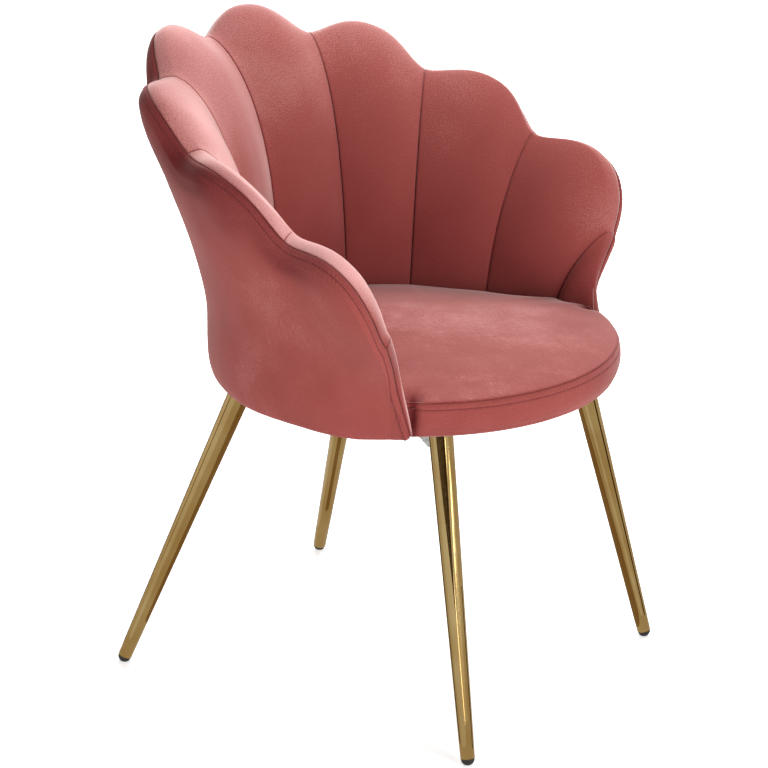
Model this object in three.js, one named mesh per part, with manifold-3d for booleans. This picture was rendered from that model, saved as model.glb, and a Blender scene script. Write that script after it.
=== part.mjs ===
// Scallop-back upholstered chair: a flared shell of ten padded channels round a round seat,
// on four splayed tapered metal legs. Millimetres, +Z up, the front faces -Y, the floor is z = 0.
// Angles round the seat are measured from the middle of the back, in degrees.

import * as THREE from 'three';
import { mergeVertices } from 'three/addons/utils/BufferGeometryUtils.js';
import Module from 'manifold-3d';

const wasm = await Module();
wasm.setup();

// Driving dimensions of the seat
const seatAxisY = -38; // the shell and the seat are round about this upright axis
const seatBoardBottom = 430;
const seatBoardThickness = 18;
const seatBoardForward = 6; // the board's centre lies this far in front of the axis
const seatSeamHeight = 470;
const seatFrontRadius = 275;
const seatCrown = 23;
const seatPanelThickness = 4.5;
const bandThickness = 4.2;
const bandBulge = 5.5;
const bandSag = 4.5; // the band rolls this far below the seat board's edge
const hemThickness = 1.2;
const hemReach = 34;
const dustCoverRadius = 238;

// Driving dimensions of the shell
const shellWrapAngle = 123; // each arm ends this far round from the middle of the back
const shellFootAngle = 121; // and this far round where it meets the seat
const notchTopHeight = 829; // the notch between the two middle petals
const armEndHeight = 446;
const backReach = 331; // from the seat axis to the top of the middle notch
const petalRise = 38;
const petalSwell = 30;
const petalLean = 12;
const outerSwell = 10.6; // each petal also swells outwards by this much
const outerSwellReach = 90; // from this far below its notch
const innerFootRadius = 215;
const channelPuff = 13.5;
const outerFootRadius = 270.5;
const outerTopRadius = 356;
const flareTopHeight = 838;
const flareStartShare = 0.17; // the outside stands straight up to this share of its climb
const rimDrop = 26; // the outer corner of the rim is this tall
const coverThickness = 8;
const coverEndThickness = 4;
const coverSag = 10; // the cover rolls this far below the seat board
const coverHem = 24;
const shellBoardThickness = 12;
const shellBoardInset = 30;

// Driving dimensions of the legs and their fixings
const frontLeg = { footX: 239, footY: -284.5, headX: 172, headY: -192 };
const rearLeg = { footX: 240, footY: 273, headX: 130, headY: 128 };
const legFootRadius = 9.25;
const legHeadRadius = 16.1;
const legWall = 1.5;
const glideRadius = 9;
const glideCentre = 8.2; // from the floor to the middle of the domed glide, along the leg
const glidePlugLength = 14;
const plateThickness = 4;
const plateWidth = 62;
const plateLength = 92;
const plateCorner = 8;
const plateMargin = 22; // from the leg's axis to the plate's end behind it
const gussetLength = 36;
const gussetHeight = 33;
const gussetThickness = 4;
const boltRadius = 3.9;
const boltEdge = 11;
const boltHeadRadius = 7.2;
const boltHeadHeight = 5;
const boltFlangeRadius = 8.6;
const boltFlangeHeight = 1.2;
const boltLength = 21;
const teeNutRadius = 5.2;
const teeNutFlange = 10;
const teeNutFlangeThickness = 1.5;
const teeNutLength = 12;

// Clearances
const touch = 0.3;
const layerGap = 0.8;
const channelGap = 0.6;
const screwGap = 0.4;
const seatMargin = 2; // the seat stays this far inside the channels
const cutOverrun = 20;

// Shares of the driving dimensions at the seams: the middle seam, four on each side, the arm's end
const seamAngleShares = [0, 0.2442, 0.4927, 0.7504, 0.9553, 1];
const footAngleShares = [0, 0.2727, 0.4711, 0.7107, 0.9008, 1];
const notchHeightShares = [1, 0.958, 0.812, 0.62, 0.3106, 0];
const notchReachShares = [0.992, 0.944, 0.915, 0.879, 0.93, 0.844];
const innerFootShares = [1, 0.995, 0.949, 1.009, 1.181, 1.3];
const outerFootShares = [1, 1, 1.002, 1.024, 1.064, 1.078];
const outerTopShares = [1, 0.989, 0.955, 0.896, 1.022, 0.889];
const flareHeightShares = [1.064, 0.991, 0.87, 0.643, 0.427, 0.09];
// Shares of the petals, from the middle of the back to the arm's end
const petalRiseShares = [0.963, 0.836, 0.746, 1.12, -0.04];
const petalSwellShares = [0.676, 0.847, 0.559, 0.816, -0.346];
const petalLeanShares = [-0.18, -0.03, -0.06, -0.63, 0];
const outerSwellShares = [0.877, 1, 0.89, 0.47, 0.28];
const petalPower = 2.3;
const petalRound = 1.86;
// How the pad curves down from the rim to the seat at each seam
const hollowPowers = [2.8, 2.8, 2.5, 2.3, 2.3, 2.3];
const hollowRounds = [0.62, 0.62, 0.7, 0.8, 0.75, 0.75];
// How far round the rim's outer corner, from its top, the rim seam lies at each seam
const seamTilts = [45.8, 34.5, 33.4, 47, 49, 60];
// How each channel puffs out between its seams, and from the seat to the rim
const puffPower = 2.2;
const puffFootShare = 0.55; // at the seat it has this share of its puff
const puffFullShare = 0.3; // and all of it from this share of the climb
const puffFadePower = 6;
const rimDropShare = 0.45; // near the arm's end the rim's corner takes this share of the low wall
const boardInsetShare = 0.6; // and the board stays this share of it below the rim

const petals = petalRiseShares.length;
const columnsPerChannel = 5;
const padLevelShares = [0, 0.2, 0.4, 0.56, 0.7, 0.81, 0.89, 0.945, 0.98, 0.996, 1];
const boardLevelShares = [0, 0.22, 0.42, 0.62, 0.82, 1];
const seamGapTilt = 3; // each of the rim seam's two edges stops this far short of it
const cornerTilt = 75;
const contourColumns = 12;
const contourTopShare = 0.9; // a contour leaves out the lines that it meets above this share
const boardEndShare = 0.8; // the board stops this far across the arm channels

const shellFootInside = outerFootRadius - coverThickness - shellBoardThickness - 2 * layerGap;
const seatBoardRadius = shellFootInside + seatBoardForward / 2 - layerGap;
const seatBoardTop = seatBoardBottom + seatBoardThickness;
const padFoot = seatBoardTop + teeNutFlangeThickness + touch;
const dustCoverTop = seatBoardBottom - touch;
const plateTop = dustCoverTop - hemThickness - touch;
const plateBottom = plateTop - plateThickness;

const radians = THREE.MathUtils.degToRad;
const mix = THREE.MathUtils.lerp;
const clampShare = (value) => THREE.MathUtils.clamp(value, 0, 1);
const easeShare = (share) => share * share * (3 - 2 * share);

// A value that runs straight between the entries of a table
function alongTable(table, position) {
  const index = Math.min(Math.floor(position), table.length - 2);
  return mix(table[index], table[index + 1], position - index);
}

// A value that runs smoothly through the entries of a table
function smoothTable(table, position) {
  const index = Math.min(Math.floor(position), table.length - 2);
  const before = table[Math.max(index - 1, 0)];
  const after = table[Math.min(index + 2, table.length - 1)];
  const startSlope = (table[index + 1] - before) / 2;
  const endSlope = (after - table[index]) / 2;
  const t = position - index;
  const bend = t * (1 - t);
  return mix(table[index], table[index + 1], easeShare(t)) + startSlope * bend * (1 - t) - endSlope * bend * t;
}

// The place of an angle among the seams' angles: 0 at the middle seam, 1 at the next, and so on
function placeAmong(angles, angle) {
  const turned = Math.min(Math.abs(angle), angles[angles.length - 1]);
  let index = 0;
  while (index < angles.length - 2 && turned > angles[index + 1]) index += 1;
  return index + (turned - angles[index]) / (angles[index + 1] - angles[index]);
}

const seamAngles = seamAngleShares.map((share) => share * shellWrapAngle);
const footAngles = footAngleShares.map((share) => share * shellFootAngle);

function polar(radius, angle, height) {
  const turn = radians(angle);
  return new THREE.Vector3(radius * Math.sin(turn), seatAxisY + radius * Math.cos(turn), height);
}

function notchHeight(place) {
  return mix(armEndHeight, notchTopHeight, alongTable(notchHeightShares, place));
}

// The smooth outer face of the upholstered shell, which swells with each petal near the rim
function outerRadius(angle, height) {
  const place = placeAmong(seamAngles, angle);
  const foot = outerFootRadius * smoothTable(outerFootShares, place);
  const top = outerTopRadius * smoothTable(outerTopShares, place);
  const flareHeight = (flareTopHeight - seatBoardBottom) * smoothTable(flareHeightShares, place);
  const climb = clampShare((height - seatBoardBottom) / flareHeight);
  const share = clampShare((climb - flareStartShare) / (1 - flareStartShare));
  const channel = Math.min(Math.floor(place), petals - 1);
  const swell = outerSwell * outerSwellShares[channel] * Math.sin(Math.PI * (place - channel)) ** 2;
  const swollen = clampShare((height - notchHeight(place)) / outerSwellReach + 1);
  return mix(foot, top, easeShare(share)) + swell * easeShare(swollen);
}

// One upright line of the shell, from the seat to the rim: channel 0 is next to the middle seam
function shellLine(channel, across, side) {
  const place = channel + across;
  const startAngle = seamAngles[channel];
  const endAngle = seamAngles[channel + 1];
  const middleRadius = backReach * (notchReachShares[channel] + notchReachShares[channel + 1]) / 2;
  const run = radians(endAngle - startAngle) * middleRadius;
  const climb = notchHeight(channel + 1) - notchHeight(channel);
  const chord = Math.hypot(run, climb);
  const bulge = (1 - Math.abs(2 * across - 1) ** petalPower) ** petalRound;
  const rise = petalRise * petalRiseShares[channel] * bulge;
  const lean = petalLean * petalLeanShares[channel] * bulge;
  const along = (run * (chord * across + lean) - climb * rise) / chord;
  const rimAngle = startAngle + THREE.MathUtils.radToDeg(along / middleRadius);
  const rimHeight = notchHeight(channel) + (climb * (chord * across + lean) + run * rise) / chord;
  const swell = petalSwell * petalSwellShares[channel] * bulge;
  const rimRadius = backReach * alongTable(notchReachShares, place) + swell;
  const lastChannel = channel === petals - 1;
  const footDrop = lastChannel ? (padFoot - seatBoardBottom) * across ** 2 : 0;
  const footHeight = padFoot - footDrop;
  const footAngle = alongTable(footAngles, place);
  const footRadius = innerFootRadius * alongTable(innerFootShares, place);
  const puffShare = lastChannel ? 1 - across : 1;
  const drop = Math.min(rimDrop, (rimHeight - footHeight) * rimDropShare);
  const inset = Math.min(shellBoardInset, (rimHeight - footHeight) * boardInsetShare);
  const cover = lastChannel ? mix(coverThickness, coverEndThickness, across) : coverThickness;
  const hollow = {
    power: alongTable(hollowPowers, place),
    round: alongTable(hollowRounds, place),
    puff: channelPuff * puffShare * (1 - Math.abs(2 * across - 1) ** puffPower),
  };
  return {
    side, channel, across, rimAngle, rimHeight, rimRadius,
    seamTilt: alongTable(seamTilts, place),
    footAngle, footHeight, footRadius, drop, inset, cover, hollow,
  };
}

function angleAt(line, height) {
  const share = clampShare((height - line.footHeight) / (line.rimHeight - line.footHeight));
  return mix(line.footAngle, line.rimAngle, share);
}

function onLine(line, radius, height) {
  return polar(radius, line.side * angleAt(line, height), height);
}

// A point of the padded inner face, from the seat (0) to the rim (1)
function padPoint(line, share) {
  const { power, round, puff } = line.hollow;
  const height = mix(line.footHeight, line.rimHeight, share);
  const depth = (line.rimRadius - line.footRadius) * (1 - share ** power) ** round;
  const puffRise = mix(puffFootShare, 1, clampShare(share / puffFullShare)) * (1 - share ** puffFadePower);
  return onLine(line, line.rimRadius - depth - puff * puffRise, height);
}

// A point inset from the outer face by a depth
function skinPoint(line, height, depth) {
  return onLine(line, outerRadius(angleAt(line, height), height) - depth, height);
}

// A point of the rim's rounded outer corner, tilted from its top, inset by a depth
function cornerPoint(line, tilt, depth) {
  const turn = radians(tilt);
  const shoulder = line.rimHeight - line.drop;
  const reach = outerRadius(angleAt(line, shoulder), shoulder) - line.rimRadius;
  const radius = line.rimRadius + reach * Math.sin(turn) - depth * Math.sin(turn);
  const height = shoulder + line.drop * Math.cos(turn) - depth * Math.cos(turn);
  return onLine(line, radius, height);
}

function boardTop(line) {
  return line.rimHeight - line.inset;
}

function boardHeights(line) {
  return boardLevelShares.map((share) => mix(line.footHeight, boardTop(line), share));
}

// A closed mesh from a list of points and a list of triangles, turned to face outwards
function closedGeometry(points, triangles) {
  let volume = 0;
  for (const [a, b, c] of triangles) {
    volume += points[a].dot(new THREE.Vector3().crossVectors(points[b], points[c]));
  }
  const ordered = volume > 0 ? triangles : triangles.map(([a, b, c]) => [a, c, b]);
  const geometry = new THREE.BufferGeometry();
  geometry.setAttribute('position', new THREE.Float32BufferAttribute(points.flatMap((p) => p.toArray()), 3));
  geometry.setIndex(ordered.flat());
  geometry.computeVertexNormals();
  return geometry;
}

// A solid through a row of ladders, each with its front points and as many back points
function ladderGeometry(ladders) {
  const rungs = ladders[0].front.length;
  const loop = 2 * rungs;
  const points = ladders.flatMap(({ front, back }) => [...front, ...back]);
  const frontIndex = (column, rung) => column * loop + rung;
  const backIndex = (column, rung) => column * loop + rungs + rung;
  const triangles = [];
  const quad = (a, b, c, d) => triangles.push([a, b, c], [a, c, d]);
  for (let column = 0; column < ladders.length - 1; column += 1) {
    const next = column + 1;
    for (let rung = 0; rung < rungs - 1; rung += 1) {
      const up = rung + 1;
      quad(frontIndex(column, rung), frontIndex(column, up), frontIndex(next, up), frontIndex(next, rung));
      triangles.push([backIndex(column, rung), backIndex(next, up), backIndex(column, up)]);
      triangles.push([backIndex(column, rung), backIndex(next, rung), backIndex(next, up)]);
    }
    const last = rungs - 1;
    quad(frontIndex(column, last), backIndex(column, last), backIndex(next, last), frontIndex(next, last));
    quad(backIndex(column, 0), frontIndex(column, 0), frontIndex(next, 0), backIndex(next, 0));
  }
  const end = ladders.length - 1;
  for (let rung = 0; rung < rungs - 1; rung += 1) {
    const up = rung + 1;
    quad(backIndex(0, rung), backIndex(0, up), frontIndex(0, up), frontIndex(0, rung));
    quad(frontIndex(end, up), backIndex(end, up), backIndex(end, rung), frontIndex(end, rung));
  }
  return closedGeometry(points, triangles);
}

// A round solid from a closed outline for each angle, all with the same number of points
function ringGeometry(outlines, topPoint, bottomPoint) {
  const size = outlines[0].length;
  const count = outlines.length;
  const points = [...outlines.flat(), topPoint, bottomPoint];
  const top = points.length - 2;
  const bottom = points.length - 1;
  const triangles = [];
  for (let column = 0; column < count; column += 1) {
    const here = column * size;
    const next = ((column + 1) % count) * size;
    for (let k = 0; k < size - 1; k += 1) {
      triangles.push([here + k, here + k + 1, next + k + 1], [here + k, next + k + 1, next + k]);
    }
    triangles.push([top, here, next], [bottom, next + size - 1, here + size - 1]);
  }
  return closedGeometry(points, triangles);
}

function solidFrom(geometry) {
  const bare = geometry.clone();
  bare.deleteAttribute('normal');
  bare.deleteAttribute('uv');
  const merged = mergeVertices(bare, 0.0001);
  const vertProperties = new Float32Array(merged.attributes.position.array);
  const triVerts = new Uint32Array(merged.index.array);
  return new wasm.Manifold(new wasm.Mesh({ numProp: 3, vertProperties, triVerts }));
}

function geometryFrom(solid) {
  const mesh = solid.getMesh();
  const geometry = new THREE.BufferGeometry();
  geometry.setAttribute('position', new THREE.BufferAttribute(mesh.vertProperties, 3));
  geometry.setIndex(new THREE.BufferAttribute(mesh.triVerts, 1));
  geometry.computeVertexNormals();
  return geometry;
}

const boxSpan = 2 * notchTopHeight;

// A block that fills everything above or below a height
function halfSpace(height, above) {
  const block = new THREE.BoxGeometry(boxSpan, boxSpan, boxSpan);
  block.translate(0, 0, above ? height + boxSpan / 2 : height - boxSpan / 2);
  return solidFrom(block);
}

const velvet = () => new THREE.MeshStandardMaterial({ color: 0xa8605d, roughness: 0.85, metalness: 0 });
const plywood = () => new THREE.MeshStandardMaterial({ color: 0xc69c6d, roughness: 0.7, metalness: 0 });
const foam = () => new THREE.MeshStandardMaterial({ color: 0xe8dcb8, roughness: 1, metalness: 0 });
const blackCloth = () => new THREE.MeshStandardMaterial({ color: 0x1d1b1b, roughness: 1, metalness: 0 });
const brass = () => new THREE.MeshStandardMaterial({ color: 0xb09a68, roughness: 0.2, metalness: 1 });
const steel = () => new THREE.MeshStandardMaterial({ color: 0x9a9a98, roughness: 0.45, metalness: 1 });
const blackPlastic = () => new THREE.MeshStandardMaterial({ color: 0x16151a, roughness: 0.5, metalness: 0 });

function named(name, geometry, material) {
  const mesh = new THREE.Mesh(geometry, material);
  mesh.name = name;
  return mesh;
}

// One padded channel of the back, wrapped over the rim to the seam and set against the shell board
function backChannel(channel, side) {
  const middle = (innerFootRadius + backReach) / 2;
  const width = radians(footAngles[channel + 1] - footAngles[channel]) * middle;
  const trim = channelGap / 2 / width;
  const boardDepth = channel === petals - 1 ? layerGap : shellBoardThickness + 2 * layerGap;
  const ladders = [];
  for (let column = 0; column <= columnsPerChannel; column += 1) {
    const across = THREE.MathUtils.clamp(column / columnsPerChannel, trim, 1 - trim);
    const line = shellLine(channel, across, side);
    const front = padLevelShares.map((share) => padPoint(line, share));
    const heights = boardHeights(line);
    const overBoard = boardTop(line) + layerGap;
    heights[heights.length - 1] = overBoard;
    const back = heights.map((height) => skinPoint(line, height, line.cover + boardDepth));
    back.push(skinPoint(line, overBoard + 3 * layerGap, line.cover + layerGap));
    back.push(skinPoint(line, line.rimHeight - line.drop, line.cover + layerGap));
    back.push(cornerPoint(line, cornerTilt, line.cover + layerGap));
    back.push(cornerPoint(line, line.seamTilt - seamGapTilt, line.cover / 2));
    back.push(cornerPoint(line, line.seamTilt - seamGapTilt, 0));
    ladders.push({ front, back });
  }
  // Both hands run from left to right, so that layers face to face have the same facets
  return ladderGeometry(side < 0 ? ladders.reverse() : ladders);
}

// All the upright lines of the shell from one arm to the other
function shellLines(endShare) {
  const halves = [];
  for (let channel = 0; channel < petals; channel += 1) {
    for (let column = 0; column < columnsPerChannel; column += 1) {
      halves.push([channel, column / columnsPerChannel]);
    }
  }
  const last = halves.filter(([channel, across]) => channel + across < endShare);
  const end = Math.min(Math.floor(endShare), petals - 1);
  last.push([end, endShare - end]);
  const right = last.map(([channel, across]) => shellLine(channel, across, 1));
  const left = last.slice(1).map(([channel, across]) => shellLine(channel, across, -1));
  return [...left.reverse(), ...right];
}

// The moulded plywood shell inside the upholstery, with the scallops of the rim
function shellBoard() {
  const ladders = shellLines(petals - 2 + boardEndShare).map((line) => {
    const heights = [seatBoardBottom, ...boardHeights(line)];
    const outside = line.cover + layerGap;
    const inside = outside + shellBoardThickness;
    const front = heights.map((height) => skinPoint(line, height, inside));
    const back = heights.map((height) => skinPoint(line, height, outside));
    return { front, back };
  });
  return ladderGeometry(ladders);
}

// The outer cover: from the hem under the shell, up the outside and over the rim to the seam
function outerCover() {
  const ladders = shellLines(petals).map((line) => {
    const foot = outerRadius(angleAt(line, seatBoardBottom), seatBoardBottom);
    const hemTop = seatBoardBottom - layerGap;
    const hem = line.channel === petals - 1 ? coverHem / 2 : coverHem;
    const roll = line.channel === petals - 1 ? mix(coverSag, coverSag / 2, line.across) : coverSag;
    const lineEnd = boardTop(line) + 4 * layerGap;
    const shoulder = line.rimHeight - line.drop;
    const front = [
      onLine(line, foot - hem, hemTop),
      onLine(line, foot - (hem + line.cover) / 2, hemTop),
      onLine(line, foot - line.cover, hemTop),
      ...boardHeights(line).map((height) => skinPoint(line, height, line.cover)),
      skinPoint(line, lineEnd, line.cover),
      skinPoint(line, shoulder, line.cover),
      cornerPoint(line, cornerTilt, line.cover),
      cornerPoint(line, line.seamTilt + seamGapTilt, line.cover / 2),
    ];
    const back = [
      onLine(line, foot - hem, hemTop - roll / 2),
      onLine(line, foot - hem / 2, seatBoardBottom - roll),
      onLine(line, foot - roll / 2, seatBoardBottom - roll * 0.5),
      ...boardHeights(line).map((height) => skinPoint(line, height, 0)),
      skinPoint(line, lineEnd, 0),
      skinPoint(line, shoulder, 0),
      cornerPoint(line, cornerTilt, 0),
      cornerPoint(line, line.seamTilt + seamGapTilt, 0),
    ];
    return { front, back };
  });
  return ladderGeometry(ladders);
}

// The padded face's radius and angle at one height, from the middle of the back to the arm's end
function padContour(height) {
  const contour = [];
  for (let channel = 0; channel < petals; channel += 1) {
    for (let column = 0; column <= contourColumns; column += 1) {
      const line = shellLine(channel, column / contourColumns, 1);
      const share = (height - line.footHeight) / (line.rimHeight - line.footHeight);
      if (share < contourTopShare) {
        const { x, y } = padPoint(line, clampShare(share));
        const angle = THREE.MathUtils.radToDeg(Math.atan2(x, y - seatAxisY));
        contour.push({ angle, radius: Math.hypot(x, y - seatAxisY) });
      }
    }
  }
  return contour;
}

const seatContours = [padFoot, seatSeamHeight, seatSeamHeight + bandBulge].map(padContour);

// The seat's outline: round in front of the arms, and drawn in where it sits between the channels
function seatRadius(angle) {
  const turned = Math.abs(angle);
  const inside = seatContours.map((contour) => {
    const next = contour.findIndex((point) => point.angle > turned);
    if (next < 1) return next < 0 ? seatFrontRadius + seatMargin : contour[0].radius;
    const [a, b] = [contour[next - 1], contour[next]];
    return mix(a.radius, b.radius, (turned - a.angle) / (b.angle - a.angle));
  });
  return Math.min(seatFrontRadius, ...inside.map((radius) => radius - seatMargin));
}

const seatSectors = 48;
const bandStartAngle = 116.5;
const bandFadeAngle = 6; // the band swells to its full bulge over this turn from the arm
const boardFitAngle = bandStartAngle - 360 / seatSectors; // the board fits the band from here on
const seatRingShares = [0.3, 0.55, 0.75, 0.88, 0.95, 0.985];
const crownPower = 3;
const crownRound = 0.75;

function crownHeight(share) {
  return seatSeamHeight + seatCrown * (1 - share ** crownPower) ** crownRound;
}

function seatAngles() {
  return Array.from({ length: seatSectors }, (unused, index) => ((index + 0.5) * 360) / seatSectors - 180);
}

// The crowned top panel, sewn to the front band and tucked down behind the seat elsewhere
function seatTopPanel() {
  const outlines = seatAngles().map((angle) => {
    const edge = seatRadius(angle);
    const inFront = Math.abs(angle) > bandStartAngle;
    const skirtBottom = inFront ? seatSeamHeight - 2 * bandThickness : padFoot;
    const skirt = edge - bandThickness - 2 * touch;
    const top = seatRingShares.map((share) => polar(edge * share, angle, crownHeight(share)));
    const under = seatRingShares.map((share) => {
      const height = crownHeight(share) - seatPanelThickness;
      return polar((skirt - seatPanelThickness / 2) * share, angle, height);
    });
    return [
      ...top,
      polar(edge, angle, seatSeamHeight),
      polar(skirt, angle, seatSeamHeight - touch),
      polar(skirt, angle, skirtBottom),
      polar(skirt - seatPanelThickness / 2, angle, skirtBottom),
      polar(skirt - seatPanelThickness / 2, angle, seatSeamHeight - seatPanelThickness),
      ...under.reverse(),
    ];
  });
  const centre = polar(0, 0, crownHeight(0));
  const centreUnder = polar(0, 0, crownHeight(0) - seatPanelThickness);
  return ringGeometry(outlines, centre, centreUnder);
}

// The foam under the panel, on the seat board
function seatFoam() {
  const outlines = seatAngles().map((angle) => {
    const edge = seatRadius(angle) - bandThickness - 3 * touch - seatPanelThickness / 2;
    const top = seatRingShares.map((share) => {
      const height = crownHeight(share) - seatPanelThickness - touch;
      return polar(edge * share, angle, height);
    });
    return [
      ...top,
      polar(edge, angle, seatSeamHeight - seatPanelThickness - 2 * touch),
      polar(edge, angle, padFoot),
    ];
  });
  const centre = polar(0, 0, crownHeight(0) - seatPanelThickness - touch);
  return ringGeometry(outlines, centre, polar(0, 0, padFoot));
}

const bandColumns = 26;
const bandLevelShares = [0, 0.18, 0.45, 0.75, 0.95];
const bandSwellPower = 0.7;

// The upright band round the front of the seat, from one arm to the other, with its hem
function seatFrontBand() {
  const ladders = [];
  for (let column = 0; column <= bandColumns; column += 1) {
    const angle = mix(bandStartAngle, 360 - bandStartAngle, column / bandColumns);
    const turned = Math.min(angle, 360 - angle);
    const swell = bandBulge * THREE.MathUtils.smoothstep(turned - shellFootAngle, 0, bandFadeAngle);
    const edge = seatRadius(turned);
    const bandTop = seatSeamHeight - 2 * touch;
    const bandBottom = seatBoardBottom - touch;
    const height = bandTop - bandBottom;
    const outer = bandLevelShares.map((share) => ({
      radius: edge + swell * Math.sin(Math.PI * share) ** bandSwellPower,
      height: bandTop - height * share,
    }));
    const back = outer.map((point) => polar(point.radius, angle, point.height));
    const front = outer.map((point) => polar(point.radius - bandThickness, angle, point.height));
    front[0] = polar(edge - bandThickness, angle, bandTop);
    const inside = edge - bandThickness;
    back.push(polar(edge - hemThickness, angle, bandBottom - bandSag));
    front.push(polar(inside, angle, bandBottom));
    back.push(polar(inside - bandSag, angle, bandBottom - hemThickness));
    front.push(polar(inside - bandSag, angle, bandBottom));
    const hemEnd = Math.max(dustCoverRadius + touch, edge - hemReach);
    back.push(polar(hemEnd, angle, bandBottom - hemThickness));
    front.push(polar(hemEnd, angle, bandBottom));
    ladders.push({ front, back });
  }
  return ladderGeometry(ladders);
}

// The legs, from the floor up: foot and head points, left and right
function legPlaces() {
  const places = [];
  for (const [row, leg] of [['front', frontLeg], ['rear', rearLeg]]) {
    for (const [hand, side] of [['left', -1], ['right', 1]]) {
      const foot = new THREE.Vector3(side * leg.footX, leg.footY, 0);
      const head = new THREE.Vector3(side * leg.headX, leg.headY, seatBoardBottom);
      const inward = row === 'front' ? 1 : -1;
      places.push({ name: `${row}_${hand}`, foot, head, side, inward });
    }
  }
  return places;
}

// Turns a lathe's profile about the leg's axis, with heights measured along the leg from the floor
function turnedOnLeg(place, profile, segments) {
  const geometry = new THREE.LatheGeometry(profile, segments);
  const axis = new THREE.Vector3().subVectors(place.head, place.foot).normalize();
  const turn = new THREE.Quaternion().setFromUnitVectors(new THREE.Vector3(0, 1, 0), axis);
  geometry.applyQuaternion(turn);
  geometry.translate(place.foot.x, place.foot.y, place.foot.z);
  return geometry;
}

const legSegments = 32;
const glideSegments = 14;
const domeSteps = 5;
const holeSteps = 12;
const cornerSegments = 4;
const boltSegments = 10;
const boltHeadSides = 6;

function legLength(place) {
  return place.head.distanceTo(place.foot);
}

function legProfile(place, grow, start) {
  const length = legLength(place) + cutOverrun;
  const slope = (legHeadRadius - legFootRadius) / legLength(place);
  return [
    new THREE.Vector2(legFootRadius + grow + slope * start, start),
    new THREE.Vector2(legHeadRadius + grow + slope * cutOverrun, length),
  ];
}

// A tapered tube, cut level under its mounting plate
function legTube(place) {
  const start = glideCentre + touch;
  const [outerFoot, outerHead] = legProfile(place, 0, start);
  const [innerFoot, innerHead] = legProfile(place, -legWall, start);
  const outline = [innerFoot, outerFoot, outerHead, innerHead, innerFoot];
  const tube = solidFrom(turnedOnLeg(place, outline, legSegments));
  return geometryFrom(tube.subtract(halfSpace(plateBottom - touch, true)));
}

// A domed glide pressed into the end of the tube, worn level where it stands on the floor
function glide(place) {
  const plugRadius = legFootRadius - legWall - touch;
  const dome = Array.from({ length: domeSteps + 1 }, (unused, index) => {
    const turn = (index / domeSteps) * (Math.PI / 2);
    return new THREE.Vector2(glideRadius * Math.sin(turn), glideCentre - glideRadius * Math.cos(turn));
  });
  dome[0].x = 0;
  const profile = [
    ...dome,
    new THREE.Vector2(plugRadius, glideCentre),
    new THREE.Vector2(plugRadius, glideCentre + glidePlugLength),
    new THREE.Vector2(0, glideCentre + glidePlugLength),
  ];
  const solid = solidFrom(turnedOnLeg(place, profile, glideSegments));
  return geometryFrom(solid.subtract(halfSpace(0, false)));
}

// The bolts of one plate, three to a leg: two inboard corners and one beside the gusset
function boltPlaces(place) {
  const across = plateWidth / 2 - boltEdge;
  const inner = plateLength - plateMargin - boltEdge;
  const beside = inner - 2 * across;
  return [
    [-across, inner],
    [across, inner],
    [-place.side * across, beside],
  ].map(([x, y]) => new THREE.Vector3(place.head.x + x, place.head.y + place.inward * y, 0));
}

function circlePoints(x, y, radius, steps) {
  return Array.from({ length: steps }, (unused, index) => {
    const turn = (2 * Math.PI * index) / steps;
    return new THREE.Vector2(x + radius * Math.cos(turn), y + radius * Math.sin(turn));
  });
}

function holeAt(place, radius) {
  return new THREE.Path(circlePoints(place.x, place.y, radius, holeSteps));
}

function slab(shape, bottom, thickness) {
  const settings = { depth: thickness, bevelEnabled: false, curveSegments: cornerSegments };
  const geometry = new THREE.ExtrudeGeometry(shape, settings);
  geometry.translate(0, 0, bottom);
  return geometry;
}

// The steel plate welded to the leg's head, with its gusset
function legPlate(place) {
  const left = place.head.x - plateWidth / 2;
  const right = place.head.x + plateWidth / 2;
  const ends = [
    place.head.y - place.inward * plateMargin,
    place.head.y + place.inward * (plateLength - plateMargin),
  ];
  const low = Math.min(...ends);
  const high = Math.max(...ends);
  const shape = new THREE.Shape();
  shape.absarc(right - plateCorner, low + plateCorner, plateCorner, -Math.PI / 2, 0, false);
  shape.absarc(right - plateCorner, high - plateCorner, plateCorner, 0, Math.PI / 2, false);
  shape.absarc(left + plateCorner, high - plateCorner, plateCorner, Math.PI / 2, Math.PI, false);
  shape.absarc(left + plateCorner, low + plateCorner, plateCorner, Math.PI, 1.5 * Math.PI, false);
  for (const bolt of boltPlaces(place)) shape.holes.push(holeAt(bolt, boltRadius + screwGap));
  const plate = solidFrom(slab(shape, plateBottom, plateThickness));

  const reach = legHeadRadius + gussetLength;
  const rib = new THREE.Shape();
  rib.moveTo(0, touch);
  rib.lineTo(place.inward * reach, touch);
  rib.lineTo(place.inward * reach, -gussetThickness);
  rib.lineTo(place.inward * legHeadRadius, -gussetHeight);
  rib.lineTo(0, -gussetHeight);
  const ribGeometry = new THREE.ExtrudeGeometry(rib, { depth: gussetThickness, bevelEnabled: false });
  ribGeometry.rotateX(Math.PI / 2);
  ribGeometry.rotateZ(Math.PI / 2);
  ribGeometry.translate(place.head.x - gussetThickness / 2, place.head.y, plateBottom);
  const start = glideCentre + touch;
  const [foot, head] = legProfile(place, touch, start);
  const envelope = [new THREE.Vector2(0, start), foot, head, new THREE.Vector2(0, head.y)];
  const leg = solidFrom(turnedOnLeg(place, envelope, legSegments)).subtract(halfSpace(plateBottom, true));
  const joined = plate.add(solidFrom(ribGeometry).subtract(leg));
  return geometryFrom(joined);
}

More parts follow.
